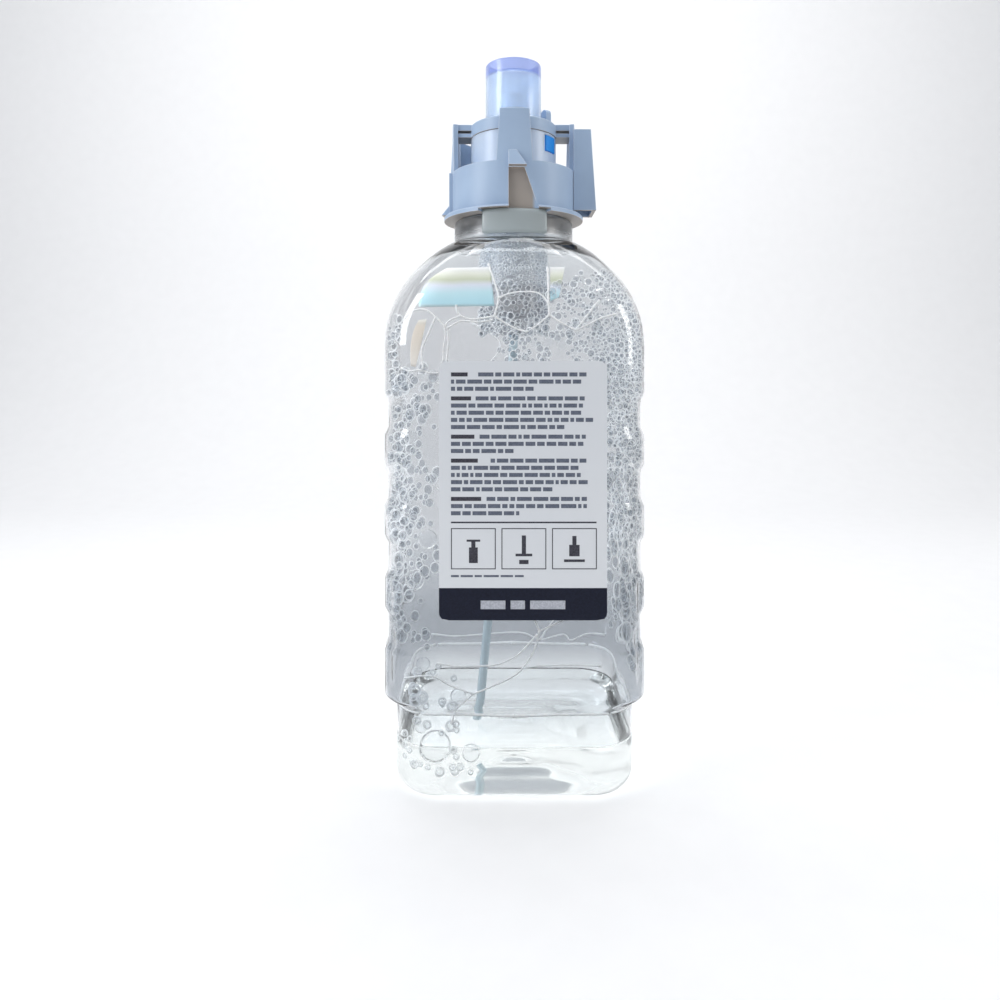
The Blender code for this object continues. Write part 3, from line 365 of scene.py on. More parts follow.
def outline_reach(angle, half_width, half_depth, corner):
    """How far a ray at this angle from +X runs before it meets the rounded rectangle.

    The ray meets the side x = half width, or the face y = half depth, or else the corner circle,
    where the distance is p + sqrt(p^2 - |c|^2 + r^2), with c the circle's centre and p the
    centre's share along the ray.
    """
    across, along = np.abs(np.cos(angle)), np.abs(np.sin(angle))
    side = half_width / np.maximum(across, 1e-6)
    face = half_depth / np.maximum(along, 1e-6)
    centre_x, centre_y = half_width - corner, half_depth - corner
    p = across * centre_x + along * centre_y
    arc = p + np.sqrt(np.maximum(p**2 - centre_x**2 - centre_y**2 + corner**2, 0.0))
    reach = np.where(side * along <= centre_y, side, arc)
    return np.where(face * across <= centre_x, face, reach)


print("shoulder half widths, mm:", np.round(1000 * plan([0.176, 0.199, 0.2145, 0.223])[0], 1))


# %% Flutes pressed into the corners
def flute(angle, height):
    """How deep the wall is pressed in: five cosine flutes on each corner, in two bands."""
    run, rise = np.abs(np.cos(angle)) * 0.0400, np.abs(np.sin(angle)) * BODY_HALF_WIDTH
    place = (np.arctan2(rise, run) - 0.62) / 0.16
    on_corner = np.clip(1 - np.abs(place) / 2.6, 0.0, 1.0) ** 0.5
    bands = ease(height, 0.041, 0.047) - ease(height, 0.062, 0.068)
    bands = bands + ease(height, 0.070, 0.075) - ease(height, 0.083, 0.089)
    return 0.00075 * on_corner * bands * (0.5 - 0.5 * np.cos(2 * np.pi * place))


def wall(angle, height, inset=0.0):
    """Points of the wall at angles and heights (from 9 mm up), moved inwards by inset."""
    width, depth, corner = plan(height)
    corner = np.maximum(corner - inset, 0.002)
    reach = outline_reach(angle, width - inset, depth - inset, corner) - flute(angle, height)
    grid = reach * np.cos(angle), reach * np.sin(angle), height
    return np.stack(np.broadcast_arrays(*grid), -1)


def wall_angles(count):
    """Angles that crowd at the four corners, where the outline turns."""
    steps = np.linspace(0, 2 * np.pi, 4001)
    reach = outline_reach(steps, *plan(0.1))
    path = np.stack([reach * np.cos(steps), reach * np.sin(steps)], -1)
    heading = np.unwrap(np.arctan2(*np.diff(path, axis=0).T[::-1]))
    pace = np.abs(np.gradient(heading)) * 0.5 + np.diff(steps) * 0.5
    run = np.concatenate([[0.0], np.cumsum(pace)])
    return np.interp(np.arange(count) * run[-1] / count, run, steps)


ANGLES = wall_angles(240)
print("deepest flute, mm:", round(1000 * float(flute(ANGLES, 0.055).max()), 2))

# %% [markdown]
# ## The bottle's shell
# A bottle that only has an outer skin looks like solid glass. The real wall has two faces, and
# light bends at both. So the rows of the grid run from the middle of the base, over the foot and
# up the outside, across the rim of the neck, and down the inside to the base again. The inside is
# the outside moved along its own normals by the wall's thickness, which grows towards the neck.

# %% Rows of the outer skin
FOOT_ROUND = 0.0090


def ring(reach, height):
    """Points at a reach from the axis and at a height, one for each angle and for each row."""
    grid = reach * np.cos(ANGLES), reach * np.sin(ANGLES), height
    return np.stack(np.broadcast_arrays(*grid), -1)


def base_rows():
    """The pushed-up base, the foot and a quarter circle of 9 mm, as rings. The base is a cosine
    dome 5 mm high with ripples of a third of a millimetre in it, sin(6 pi share) (1 - share)."""
    rings = []
    width, depth = FOOT_HALF_WIDTH - 0.0135, FOOT_HALF_DEPTH - 0.0135
    for share in np.linspace(0.04, 1.0, 28):
        corner = max(share * 0.0125, 0.0005)
        height = 0.0050 * abs(math.cos(share * math.pi / 2)) ** 1.3
        height += 0.00035 * math.sin(6 * math.pi * share) * (1 - share)
        rings.append(ring(outline_reach(ANGLES, share * width, share * depth, corner), height))
    for angle in np.linspace(0.0, math.pi / 2, 12)[1:-1]:
        pull = FOOT_ROUND * (1 - math.sin(angle))
        plan_there = FOOT_HALF_WIDTH - pull, FOOT_HALF_DEPTH - pull, FOOT_CORNER - pull
        height = FOOT_ROUND * (1 - math.cos(angle))
        rings.append(ring(outline_reach(ANGLES, *plan_there), height))
    return np.array(rings)


shoulder_share = 1 - (1 - np.linspace(0.02, 1.0, 34)) ** 1.7
heights = np.concatenate(
    [
        np.linspace(FOOT_ROUND, 0.0340, 7),
        np.linspace(*BASE_STEP, 8),
        np.linspace(0.0405, 0.1765, 96),
        0.1765 + (NECK_ROOT - 0.1765) * shoulder_share,
    ]
)
neck = np.array(
    [
        (NECK_RADIUS, 0.2245),
        (NECK_RADIUS, LEDGE - 0.0010),
        (0.0254, LEDGE - 0.0003),
        (0.0246, LEDGE),
        (0.0228, LEDGE),
        (0.0224, LEDGE + 0.0004),
        (0.0224, LEDGE + 0.0060),
        (0.0235, LEDGE + 0.0063),
        (0.0236, LEDGE + 0.0068),
        (0.0224, LEDGE + 0.0087),
        (0.0224, BOTTLE_TOP - 0.0004),
        (0.0221, BOTTLE_TOP),
    ]
)
FOOT = base_rows()
outer = np.concatenate([FOOT, wall(ANGLES, heights[:, None]), ring(neck[:, :1], neck[:, 1:])])
print("outer skin:", outer.shape[0], "rings of", outer.shape[1])


# %% The inner skin and the shell
def inward(grid, depth):
    """The grid moved against its outward normals: the cross product of its two directions."""
    round_ring = np.roll(grid, -1, 1) - np.roll(grid, 1, 1)
    up = np.gradient(grid, axis=0)
    normal = np.cross(round_ring, up)
    normal /= np.maximum(np.linalg.norm(normal, axis=2, keepdims=True), 1e-12)
    return grid - normal * depth[:, None, None]


level = outer[:, :, 2].mean(1)
inner = inward(outer, WALL + (NECK_WALL - WALL) * ease(level, 0.214, 0.226))
bore = np.full((len(neck), 1), 0.0204)
bore[:2], bore[2:5] = 0.0236, 0.0222
inner[-len(neck) :] = ring(bore, neck[:, 1:])
thick = float(np.linalg.norm(outer[80, 60] - inner[80, 60]))
print("shell thickness at the label, mm:", round(1000 * thick, 2))

# %% [markdown]
# ## Clear plastic
# PET bends light a little more than water does, and its colour is only seen edge-on, as a cool
# grey. The shell lets shadow rays pass, because a real clear wall hardly shades what is inside,
# and a renderer that bends every shadow ray would leave the inside dark. A slow noise in the
# bump stands for the uneven stretch of blown plastic, which makes straight lines behind it waver.

# %% Material of the bottle
TALL = 0.3


def height_ramp(material, stops):
    """A ramp along the height, through (metres, colour) stops. Its end at 1 stands for 0.3 m."""
    rise = axes(material, (1.0, 1.0, 1.0 / TALL))["Z"]
    return ramp(material, rise, [(height / TALL, colour) for height, colour in stops])


def shadow_free(material, shader, colour):
    """Sight meets the shader, and shadow rays pass through it, tinted by a colour."""
    shadow_ray = node(material, "LightPath").outputs["Is Shadow Ray"]
    passing = node(material, "BsdfTransparent", Color=(*colour, 1.0))
    return surface(material, mix_shaders(material, shadow_ray, shader, passing))


def clear_look(name, tint, roughness, ior, wave, wave_scale, painted_shade_stops=None, through=1.0):
    """Glass-like plastic: refraction for sight, plain tinted transparency for shadows.

    painted_shade_stops is a list of (height in metres, colour) stops: painted light and shade
    along the wall's height. Such a wall also gets painted shade towards the back, and is frosted at
    the neck.
    """
    material = new_material(name)
    colour, frost = (*tint, 1.0), roughness
    if painted_shade_stops:
        # Painted shade: the wall darker towards the back.
        depth = ramp(material, axes(material)["Y"], [(0.0, 1.0), (0.034, (0.72, 0.73, 0.745))])
        above_base = height_ramp(material, [(0.022, 0.0), (0.036, 1.0)])
        colour = mix(material, above_base, height_ramp(material, painted_shade_stops), depth)
        frost = height_ramp(material, [(0.220, roughness), (0.2265, 0.30)])
    place = object_place(material, (1.0, 1.0, 0.45))
    stretch = noise(material, place, wave_scale, 2.0, Roughness=0.4)
    relief = node(material, "Bump", Strength=1.0, Distance=wave, Height=stretch)
    glass = node(
        material,
        "BsdfPrincipled",
        Base_Color=colour,
        Roughness=frost,
        IOR=ior,
        Transmission_Weight=through,
        Normal=relief.outputs["Normal"],
    )
    return shadow_free(material, glass, [0.5 + 0.5 * t for t in tint])


# Painted light and shade along the bottle's height: lighter at the foot, darker in the lower body
# and at the neck.
BOTTLE_PAINTED_SHADE = [
    (0.000, (1.0, 1.0, 1.0)),
    (0.022, (0.985, 0.995, 0.99)),
    (0.038, (0.65, 0.675, 0.70)),
    (0.075, (0.65, 0.675, 0.70)),
    (0.090, (0.90, 0.91, 0.92)),
    (0.200, (0.93, 0.935, 0.94)),
    (0.222, (0.85, 0.87, 0.88)),
    (0.236, (0.76, 0.78, 0.80)),
]
CLEAR = clear_look("clear_plastic", (0.93, 0.94, 0.95), 0.012, 1.50, 0.0006, 38.0, BOTTLE_PAINTED_SHADE)
shell = closed_grid(np.concatenate([outer, inner[::-1]]))
bottle = piece("bottle_shell", shell, CLEAR)
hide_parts("bottle")

# %% [markdown]
# ## Neck lugs
# Two thick lugs on the neck, front and back, stop the collar from turning. Each is a block bent
# round the neck: its rounded outline in radius and height is carried along 57 degrees of arc.

# %% Lugs
def bent_block(inner_radius, outer_radius, low, high, round_off, middle, half_angle, steps):
    """A rounded rectangle in (radius, height), carried along an arc about Z and narrower at
    its ends by 0.12 (1 - cos s)^6, with s from -90 to 90 degrees along the arc."""
    turn = np.linspace(0, 2 * np.pi, 32, endpoint=False)
    half_r, half_z = (outer_radius - inner_radius) / 2, (high - low) / 2
    reach_out = outline_reach(turn, half_r, half_z, round_off)
    radius = (outer_radius + inner_radius) / 2 + reach_out * np.cos(turn)
    height = (high + low) / 2 + reach_out * np.sin(turn)
    swing = np.linspace(-np.pi / 2, np.pi / 2, steps)[:, None]
    arc = middle + half_angle * np.sin(swing)
    taper = 1 - 0.12 * (1 - np.cos(swing)) ** 6
    radius = inner_radius + (radius - inner_radius) * taper
    return np.stack(np.broadcast_arrays(radius * np.cos(arc), radius * np.sin(arc), height), -1)


def closed_grids(grids):
    """Several closed grids as one shape."""
    return merge([closed_grid(grid) for grid in grids])


lug_size = 0.0250, 0.0278, 0.2236, LEDGE + 0.0014, 0.0006
lugs = [bent_block(*lug_size, middle, 0.50, 24)[:, ::-1] for middle in (-np.pi / 2, np.pi / 2)]
# The lugs' grey-green tint and dimmer see-through are a painted reflection of the collar; their
# roughness is a real frost.
FROSTED_NECK_PAINTED_REFLECTION = clear_look("frosted_neck_painted_reflection", (0.56, 0.62, 0.63), 0.30, 1.50, 0.0004, 160.0, through=0.45)
piece("neck_lugs", closed_grids(lugs), FROSTED_NECK_PAINTED_REFLECTION)

# %% [markdown]
# ## What is left of the soap
# The pack in the photograph is nearly empty: a shallow pool stands in the foot. Liquid climbs a
# little where it touches the wall. Its side reaches a hair into the plastic, because a film of
# air between the two would mirror like a second bottle.

# %% The pool
def pool_rows(level, climb):
    """The pool's skin: the bottle's inner base from its middle outwards, then the surface, which
    stands level + climb * exp(-distance / 1.6 mm) above the base, back to the middle."""
    count = len(FOOT)
    bottom = inner[:count] - (inner[:count] - outer[:count]) * 0.06
    side = wall(ANGLES, np.linspace(FOOT_ROUND, level, 8)[1:, None], WALL * 0.94)
    rim = wall(ANGLES, level, WALL * 0.94)
    gap = np.geomspace(0.00002, 0.02, 16)[:, None]
    share = 1 - gap / 0.0380
    top = rim * np.stack([share, share, np.ones_like(share)], -1)
    top[..., 2] = level + climb * np.exp(-gap / 0.0016)
    return np.concatenate([bottom, side, top, top[-1:] * [0.05, 0.05, 1.0]])


SOAP = clear_look("clear_soap", (0.985, 0.998, 0.992), 0.0, 1.34, 0.0001, 60.0)
pool = piece("soap_pool", closed_grid(pool_rows(0.0215, 0.0011)), SOAP)
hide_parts("soap")

# %% [markdown]
# ## Where things lie on the wall
# Suds and film lines cling to the inside of the bottle. Two small functions place them: one turns
# a distance run round the body into an angle, so that bubbles can be spread evenly, and the other
# finds the point of the wall behind a place in the camera's picture, so that the big film lines
# can be drawn where the photograph shows them. It shoots the ray at a first guess of the depth,
# reads the wall's depth there, and repeats.

# %% Run round the body, and rays onto the wall
PHOTO_FOCAL = 749
HORIZON = (500, 368)
RUN_ANGLES = np.linspace(-np.pi, np.pi, 2001)
body_ring = wall(RUN_ANGLES, 0.150, WALL)
RUN = np.concatenate([[0.0], np.cumsum(np.linalg.norm(np.diff(body_ring, axis=0), axis=1))])
RUN_LENGTH = float(RUN[-1])


def inner_frame(angle, height, inset=WALL):
    """Points on the wall, their tangent round the ring and their inward normal."""
    small = 0.002
    here = wall(angle, height, inset)
    side = wall(angle + small, height, inset) - wall(angle - small, height, inset)
    rise = wall(angle, height + 0.0004, inset) - wall(angle, height - 0.0004, inset)
    side /= np.linalg.norm(side, axis=-1, keepdims=True)
    into = -np.cross(side, rise)
    into /= np.linalg.norm(into, axis=-1, keepdims=True)
    return here, side, into


def behind_pixel(spots, side=-1.0):
    """Angle and height of the inner wall, front or back, behind (x, y) places in the picture."""
    spots = np.asarray(spots, dtype=float).reshape(-1, 2)
    depth = np.full(len(spots), EYE_BACK + side * 0.039)
    for _ in range(12):
        x = (spots[:, 0] - HORIZON[0]) * depth / PHOTO_FOCAL + EYE_X
        z = EYE_Z + (HORIZON[1] - spots[:, 1]) * depth / PHOTO_FOCAL
        half_width, half_depth, corner = plan(z)
        x = np.clip(x, -half_width + 0.0012, half_width - 0.0012)
        past = np.clip(np.abs(x) - (half_width - corner), 0.0, corner)
        y = half_depth - corner + np.sqrt(corner**2 - past**2)
        depth = 0.5 * depth + 0.5 * (EYE_BACK + side * (y - WALL))
    return np.arctan2(side * y, x), z


print("run round the inside, mm:", round(1000 * RUN_LENGTH))

# %% [markdown]
# ## Film lines
# Where two big soap films meet on the plastic, a thread of liquid gathers, and it catches the
# light as a white line. Each is a thin round thread: a smooth curve through a few points on the
# wall, with a ring of eight points carried along it. Three threads meet at each joint, as real
# films do.

# %% Threads along the wall
def smooth_path(angle, height, count):
    """Points spread evenly along a Catmull-Rom curve through the given angles and heights."""
    spots = np.stack([np.unwrap(angle), height], -1)
    padded = np.concatenate([2 * spots[:1] - spots[1:2], spots, 2 * spots[-1:] - spots[-2:-1]])
    t = np.linspace(0, len(spots) - 1 - 1e-9, count)
    i = t.astype(int)
    f = (t - i)[:, None]
    a, b, c, d = (padded[i + k] for k in range(4))
    square, cube = 2 * a - 5 * b + 4 * c - d, 3 * b - a - 3 * c + d
    curve = 0.5 * (2 * b + (c - a) * f + square * f**2 + cube * f**3)
    return curve[:, 0], curve[:, 1]


def thread(angle, height, radius, count=36):
    """A ring of eight points along the wall, thicker by half where it ends at a joint."""
    angle, height = smooth_path(angle, height, count)
    here, _, into = inner_frame(angle, height)
    share = np.linspace(-1, 1, count)
    uneven = 1 + 0.12 * np.sin(np.arange(count) * 1.9 + angle[0] * 40)
    thick = radius * (1 + 0.5 * np.abs(share) ** 8) * uneven
    centre = here + into * radius * 0.5
    along = np.gradient(centre, axis=0)
    along /= np.linalg.norm(along, axis=1, keepdims=True)
    turn = (np.arange(8) * np.pi / 4)[None, :, None]
    ring_there = np.cross(along, into)[:, None] * np.cos(turn) + into[:, None] * np.sin(turn)
    return centre[:, None] + ring_there * thick[:, None, None]


FRONT_LINES = [
    (403, 319, 411, 311, 424, 310, 434, 317, 443, 326),
    (443, 326, 449, 320, 459, 316),
    (459, 316, 470, 319, 483, 318, 494, 316),
    (446, 328, 460, 321, 478, 322, 492, 320),
    (443, 326, 444, 336, 442, 348, 442, 362),
    (446, 330, 447, 342, 445, 362),
    (494, 316, 505, 323, 517, 329, 527, 332),
    (527, 332, 538, 325, 550, 315),
    (550, 315, 563, 323, 577, 330),
    (577, 330, 591, 324, 603, 318, 618, 314),
    (488, 264, 494, 282, 498, 298, 494, 316),
    (498, 298, 508, 294, 520, 292, 533, 292, 542, 295, 550, 304),
    (550, 315, 549, 303, 549, 291, 548, 267),
    (455, 305, 456, 311, 459, 316),
    (601, 300, 592, 311, 577, 330),
    (434, 317, 427, 333, 420, 350, 421, 369),
    (400, 368, 408, 371, 418, 370, 428, 373, 437, 373),
    (402, 678, 418, 676, 433, 677, 450, 686, 472, 694),
    (472, 694, 490, 687, 512, 677, 524, 667, 535, 649, 540, 631),
    (540, 631, 553, 625, 568, 618, 585, 608),
    (472, 694, 463, 702, 454, 710, 450, 724),
    (435, 663, 455, 666, 480, 666, 498, 664, 516, 656, 528, 645, 538, 634),
    (524, 668, 540, 666, 570, 665, 603, 666),
    (540, 631, 536, 622, 530, 612),
]
BACK_LINES = [
    (430, 634, 455, 636, 483, 634, 520, 632, 541, 639, 564, 634, 572, 640, 588, 634, 606, 635),
    (470, 322, 500, 345, 480, 380, 500, 430, 560, 450, 600, 430),
    (480, 380, 455, 390, 430, 380),
    (500, 430, 470, 480, 500, 530, 560, 560, 590, 540),
    (470, 480, 440, 490, 425, 470),
    (500, 530, 480, 570, 440, 590),
    (560, 560, 565, 600, 541, 639),
]
THREAD = 0.00036
threads = [thread(*behind_pixel(line, -1.0), THREAD) for line in FRONT_LINES]
threads += [thread(*behind_pixel(line, 1.0), THREAD) for line in BACK_LINES]
for start in (-180, -90, 0, 90):
    quarter = np.radians(np.linspace(start, start + 90, 12))
    ledge = BASE_STEP[0] + 0.0003 * np.sin(quarter * 5)
    threads += np.split(thread(quarter, ledge, 0.00060, 72), 2)
FILM = new_material("soap_thread_line")
swell = noise(FILM, object_place(FILM), 900.0, 1.0)
tone = ramp(FILM, swell, [(0.35, (0.95, 0.98, 1.0)), (0.6, 1.0)])
surface(FILM, node(FILM, "BsdfPrincipled", Base_Color=tone, Roughness=0.22, IOR=1.45, Alpha=0.95))
piece("film_lines", closed_grids(threads), FILM)

# %% [markdown]
# ## A painted reflection on the shoulder
# Under the shoulder the plastic shows a bright reflection, white at its top and yellow-green, pale
# blue and cyan below, and a warm glint at the left. Both are painted on a thin coloured sheet,
# whose colours a ramp along the height paints. It could be a flat card, but then it would leave
# the curved wall. So its grid is laid on the wall behind the picture's place, as a skin of a tenth
# of a millimetre.

# %% Painted reflection patches on the shoulder
def painted_reflection_slab(top, bottom, bow, rows=14, columns=30):
    """A slab on the wall between a top and a bottom line of the picture (pairs of end points):
    each row of the grid runs out along the front of the slab and comes back along its rear. The
    left edge bows out by bow (u^3 - u) picture points, at a share u of the way up."""
    rise = np.linspace(0, 1, rows)[:, None, None]
    run = np.linspace(0, 1, columns)[None, :, None]
    top, bottom = np.array(top, dtype=float), np.array(bottom, dtype=float)
    upper = top[0] * (1 - run) + top[1] * run
    lower = bottom[0] * (1 - run) + bottom[1] * run
    spots = lower * (1 - rise) + upper * rise
    spots[..., 0] += bow * (rise[..., 0] ** 3 - rise[..., 0]) * (1 - run[..., 0])
    here, _, into = inner_frame(*behind_pixel(spots.reshape(-1, 2)))
    front = (here + into * 0.00025).reshape(rows, columns, 3)
    rear = (here + into * 0.00035).reshape(rows, columns, 3)
    return np.concatenate([front, rear[:, ::-1]], 1)


SHOULDER_REFLECTION_PAINT = new_material("shoulder_reflection_paint")
ripple = noise(SHOULDER_REFLECTION_PAINT, object_place(SHOULDER_REFLECTION_PAINT, (1.0, 1.0, 2.5)), 30.0, 2.0)
stirred = maths(SHOULDER_REFLECTION_PAINT, "Math", "MULTIPLY_ADD", ripple, 0.0035, axes(SHOULDER_REFLECTION_PAINT)["Z"])
colours = [
    (0.00, (0.98, 0.93, 0.86)),
    (0.40, (0.99, 0.90, 0.78)),
    (0.56, (0.86, 0.98, 1.0)),
    (0.60, (0.58, 0.90, 1.0)),
    (0.70, (0.66, 0.93, 1.0)),
    (0.78, (0.86, 0.90, 1.0)),
    (0.84, (0.70, 0.74, 0.56)),
    (0.90, (0.96, 0.97, 0.86)),
    (0.95, (1.0, 1.0, 1.0)),
]
tone = ramp(SHOULDER_REFLECTION_PAINT, map_range(SHOULDER_REFLECTION_PAINT, stirred, 0.1700, 0.2120), colours)
surface(SHOULDER_REFLECTION_PAINT, node(SHOULDER_REFLECTION_PAINT, "BsdfPrincipled", Base_Color=tone, Roughness=0.12, Alpha=0.80, IOR=1.34))
# The first two patches are the painted reflection, the third the painted warm glint.
patches = [
    painted_reflection_slab([(446, 268), (490, 267)], [(417, 307), (494, 306)], 26),
    painted_reflection_slab([(551, 267), (566, 267)], [(551, 301), (560, 297)], 0),
    painted_reflection_slab([(417, 320), (425, 319)], [(409, 366), (414, 367)], 10),
]
piece("painted_shoulder_reflection", closed_grids(patches), SHOULDER_REFLECTION_PAINT)

# %% [markdown]
# ## Suds
# A bubble in suds is a thin shell: looked at squarely it is nearly invisible, and only its rim,
# seen edge-on, shines. So each bubble is a small ball of 80 faces pressed a little against the
# wall, and its material is see-through with a grey tint in the middle, a painted shade, and white
# at the rim, a painted highlight. The balls stand on a jittered honeycomb, closer where the
# photograph's suds are finer, and bigger ones push the smaller ones away.

# %% One ball of eighty faces
def round_ball(levels):
    """An icosahedron whose faces are cut in four and pushed out to the unit sphere, levels times."""
    g = (1 + 5**0.5) / 2
    spots = [(-1, g, 0), (1, g, 0), (-1, -g, 0), (1, -g, 0), (0, -1, g), (0, 1, g)]
    spots += [(0, -1, -g), (0, 1, -g), (g, 0, -1), (g, 0, 1), (-g, 0, -1), (-g, 0, 1)]
    spots = np.array(spots, dtype=float)
    faces = np.array(
        [(0, 11, 5), (0, 5, 1), (0, 1, 7), (0, 7, 10), (0, 10, 11), (1, 5, 9), (5, 11, 4)]
        + [(11, 10, 2), (10, 7, 6), (7, 1, 8), (3, 9, 4), (3, 4, 2), (3, 2, 6), (3, 6, 8)]
        + [(3, 8, 9), (4, 9, 5), (2, 4, 11), (6, 2, 10), (8, 6, 7), (9, 8, 1)]
    )
    for _ in range(levels):
        edges = np.sort(faces[:, [[0, 1], [1, 2], [2, 0]]].reshape(-1, 2), axis=1)
        unique, back = np.unique(edges, axis=0, return_inverse=True)
        middle = back.reshape(-1, 3) + len(spots)
        spots = np.concatenate([spots, spots[unique].mean(1)])
        a, b, c = faces.T
        ab, bc, ca = middle.T
        quarters = [(a, ab, ca), (ab, b, bc), (ca, bc, c), (ab, bc, ca)]
        faces = np.concatenate([np.stack(q, -1) for q in quarters])
    return spots / np.linalg.norm(spots, axis=1, keepdims=True), faces


SMALL_BALL = round_ball(1)
FINE_BALL = round_ball(2)
print("ball faces:", len(SMALL_BALL[1]), "and", len(FINE_BALL[1]))


# %% Bubbles on the wall
ROOM_X, ROOM_Y = 0.0520, 0.0394


def honeycomb(run, rise, pitch, seed):
    """A jittered honeycomb of (run, height) spots in a window, with a size share for each."""
    dice = np.random.default_rng(seed)
    up = np.arange(rise[0], rise[1], pitch * 0.866)
    a, u = np.meshgrid(np.arange(run[0], run[1], pitch), up)
    a = a + (np.arange(len(up)) % 2)[:, None] * pitch / 2
    spots = np.stack([a, u], -1).reshape(-1, 2)
    spots += dice.uniform(-0.34, 0.34, spots.shape) * pitch
    return spots, dice.uniform(0, 1, len(spots)), dice


def ball_shape(ball, points):
    """The shape of many balls from their points, an array of balls x points x 3."""
    first = (np.arange(len(points)) * len(ball[0]))[:, None, None]
    return points.reshape(-1, 3), [(ball[1][None] + first).reshape(-1, 3)]


def place_balls(ball, spots, size, press, stretch, lift):
    """Balls set on the wall: pressed along its normal, stretched upwards, lifted by a share."""
    angle = np.interp(spots[:, 0] % RUN_LENGTH, RUN, RUN_ANGLES)
    here, side, into = inner_frame(angle, spots[:, 1])
    rise = np.cross(into, side)
    centre = here + into * (size * lift)[:, None]
    unit = ball[0]
    offset = (
        side[:, None] * unit[None, :, :1]
        + into[:, None] * unit[None, :, 1:2] * press
        + rise[:, None] * unit[None, :, 2:] * np.asarray(stretch).reshape(-1, 1, 1)
    )
    offset *= size[:, None, None]
    depth = (offset * into[:, None]).sum(2) + (size * lift)[:, None]
    offset -= into[:, None] * np.minimum(depth, -0.0002)[..., None] + into[:, None] * 0.0002
    points = centre[:, None] + offset
    points[..., :2] = np.clip(points[..., :2], [-ROOM_X, -ROOM_Y], [ROOM_X, ROOM_Y])
    return ball_shape(ball, points)


def run_at(angle):
    """Distance round the inside at an angle in degrees: -90 is the front, 0 the right side."""
    return float(np.interp(math.radians(angle), RUN_ANGLES, RUN))


# %% [markdown]
# The suds follow one table. Each line is a patch: from and to in degrees round the bottle, from
# and to in millimetres of height, the pitch of its honeycomb, how full it is, how much the
# bubbles are drawn out upwards by the draining liquid, and a seed.

# %% The patches
PATCHES = {
    "suds_right_upper": [
        (-62, 60, 150, 192, 2.3, 0.95, 1.0, 11),
        (-58, 70, 190, 212, 2.2, 0.55, 1.0, 12),
        (-100, -56, 172, 189, 2.4, 1.0, 1.0, 13),
        (-72, -50, 186, 205, 2.6, 0.8, 1.0, 15),
        (-55, 55, 128, 152, 2.1, 0.85, 1.0, 14),
    ],
    "suds_right_lower": [
        (-52, 50, 100, 130, 2.2, 0.80, 1.5, 21),
        (-50, 50, 74, 104, 2.9, 0.70, 2.0, 22),
        (-46, 40, 40, 76, 4.2, 0.30, 1.6, 23),
        (60, 105, 110, 180, 3.6, 0.30, 1.2, 24),
    ],
    "suds_left": [
        (-146, -130, 60, 172, 3.1, 0.50, 1.2, 31),
        (-180, -140, 140, 196, 3.0, 0.22, 1.0, 32),
        (130, 180, 60, 170, 4.2, 0.30, 1.2, 33),
        (-176, -140, 60, 140, 4.0, 0.35, 1.2, 35),
    ],
    "suds_foot": [
        (-140, -118, 22, 60, 3.6, 0.45, 1.0, 34),
        (-150, -112, 9.5, 25, 3.2, 0.65, 1.0, 36),
    ],
}
BIG_BUBBLES = {
    "suds_right_upper": [
        *[(603, 294, 8), (588, 286, 4), (612, 303, 4.5), (563, 345, 5.5), (596, 345, 6)],
        *[(620, 327, 7), (541, 333, 4), (549, 342, 5), (534, 344, 3.5), (580, 336, 4)],
        *[(575, 352, 4), (608, 352, 4), (583, 279, 4), (575, 290, 3), (594, 277, 3)],
        *[(597, 308, 4), (585, 305, 3.5)],
    ],
    "suds_right_lower": [(630, 500, 6), (622, 530, 5), (634, 455, 4)],
    "suds_left": [(425, 540, 10), (411, 580, 10), (408, 438, 8), (419, 375, 4), (406, 500, 6)],
    "suds_foot": [(457, 698, 8), (421, 665, 7), (433, 750, 16), (418, 728, 6), (470, 755, 9)],
}


def large_spots(big):
    """Places on the wall and radii of large bubbles, from places and radii in the picture."""
    angle, height = behind_pixel([(x, y) for x, y, _ in big])
    size = np.array([r for _, _, r in big]) * 0.295 / PHOTO_FOCAL
    return np.stack([np.interp(angle, RUN_ANGLES, RUN), height], -1), size


def suds(patches, big):
    """The shape of the small bubbles in one piece, which leave room for the large ones."""
    big_spots, big_size = large_spots(big)
    parts = []
    for start, end, low, high, pitch, fill, drawn, seed in patches:
        run, low, high, pitch = (run_at(start), run_at(end)), low / 1000, high / 1000, pitch / 1000
        spots, share, dice = honeycomb(run, (low, high), pitch, seed)
        edge_run = np.minimum(spots[:, 0] - run[0], run[1] - spots[:, 0])
        edge_run = np.clip(edge_run / (0.12 * (run[1] - run[0])), 0.15, 1.0)
        edge_rise = np.minimum(spots[:, 1] - low, high - spots[:, 1])
        odds = fill * edge_run * np.clip(edge_rise / 0.006, 0.25, 1.0)
        size = pitch * (0.30 + 0.10 * fill + 0.40 * share**2)
        gap = np.linalg.norm(spots[:, None] - big_spots[None], axis=2)
        clear = (gap > big_size[None] + 0.35 * size[:, None]).all(1)
        keep = (dice.uniform(0, 1, len(spots)) < odds) & clear
        stretch = 1 + (drawn - 1) * dice.uniform(0.4, 1.2, len(spots))
        lift = dice.uniform(0.35, 1.1, len(spots))
        chosen = spots[keep], size[keep], 0.85, stretch[keep], lift[keep]
        parts.append(place_balls(SMALL_BALL, *chosen))
    return merge(parts)


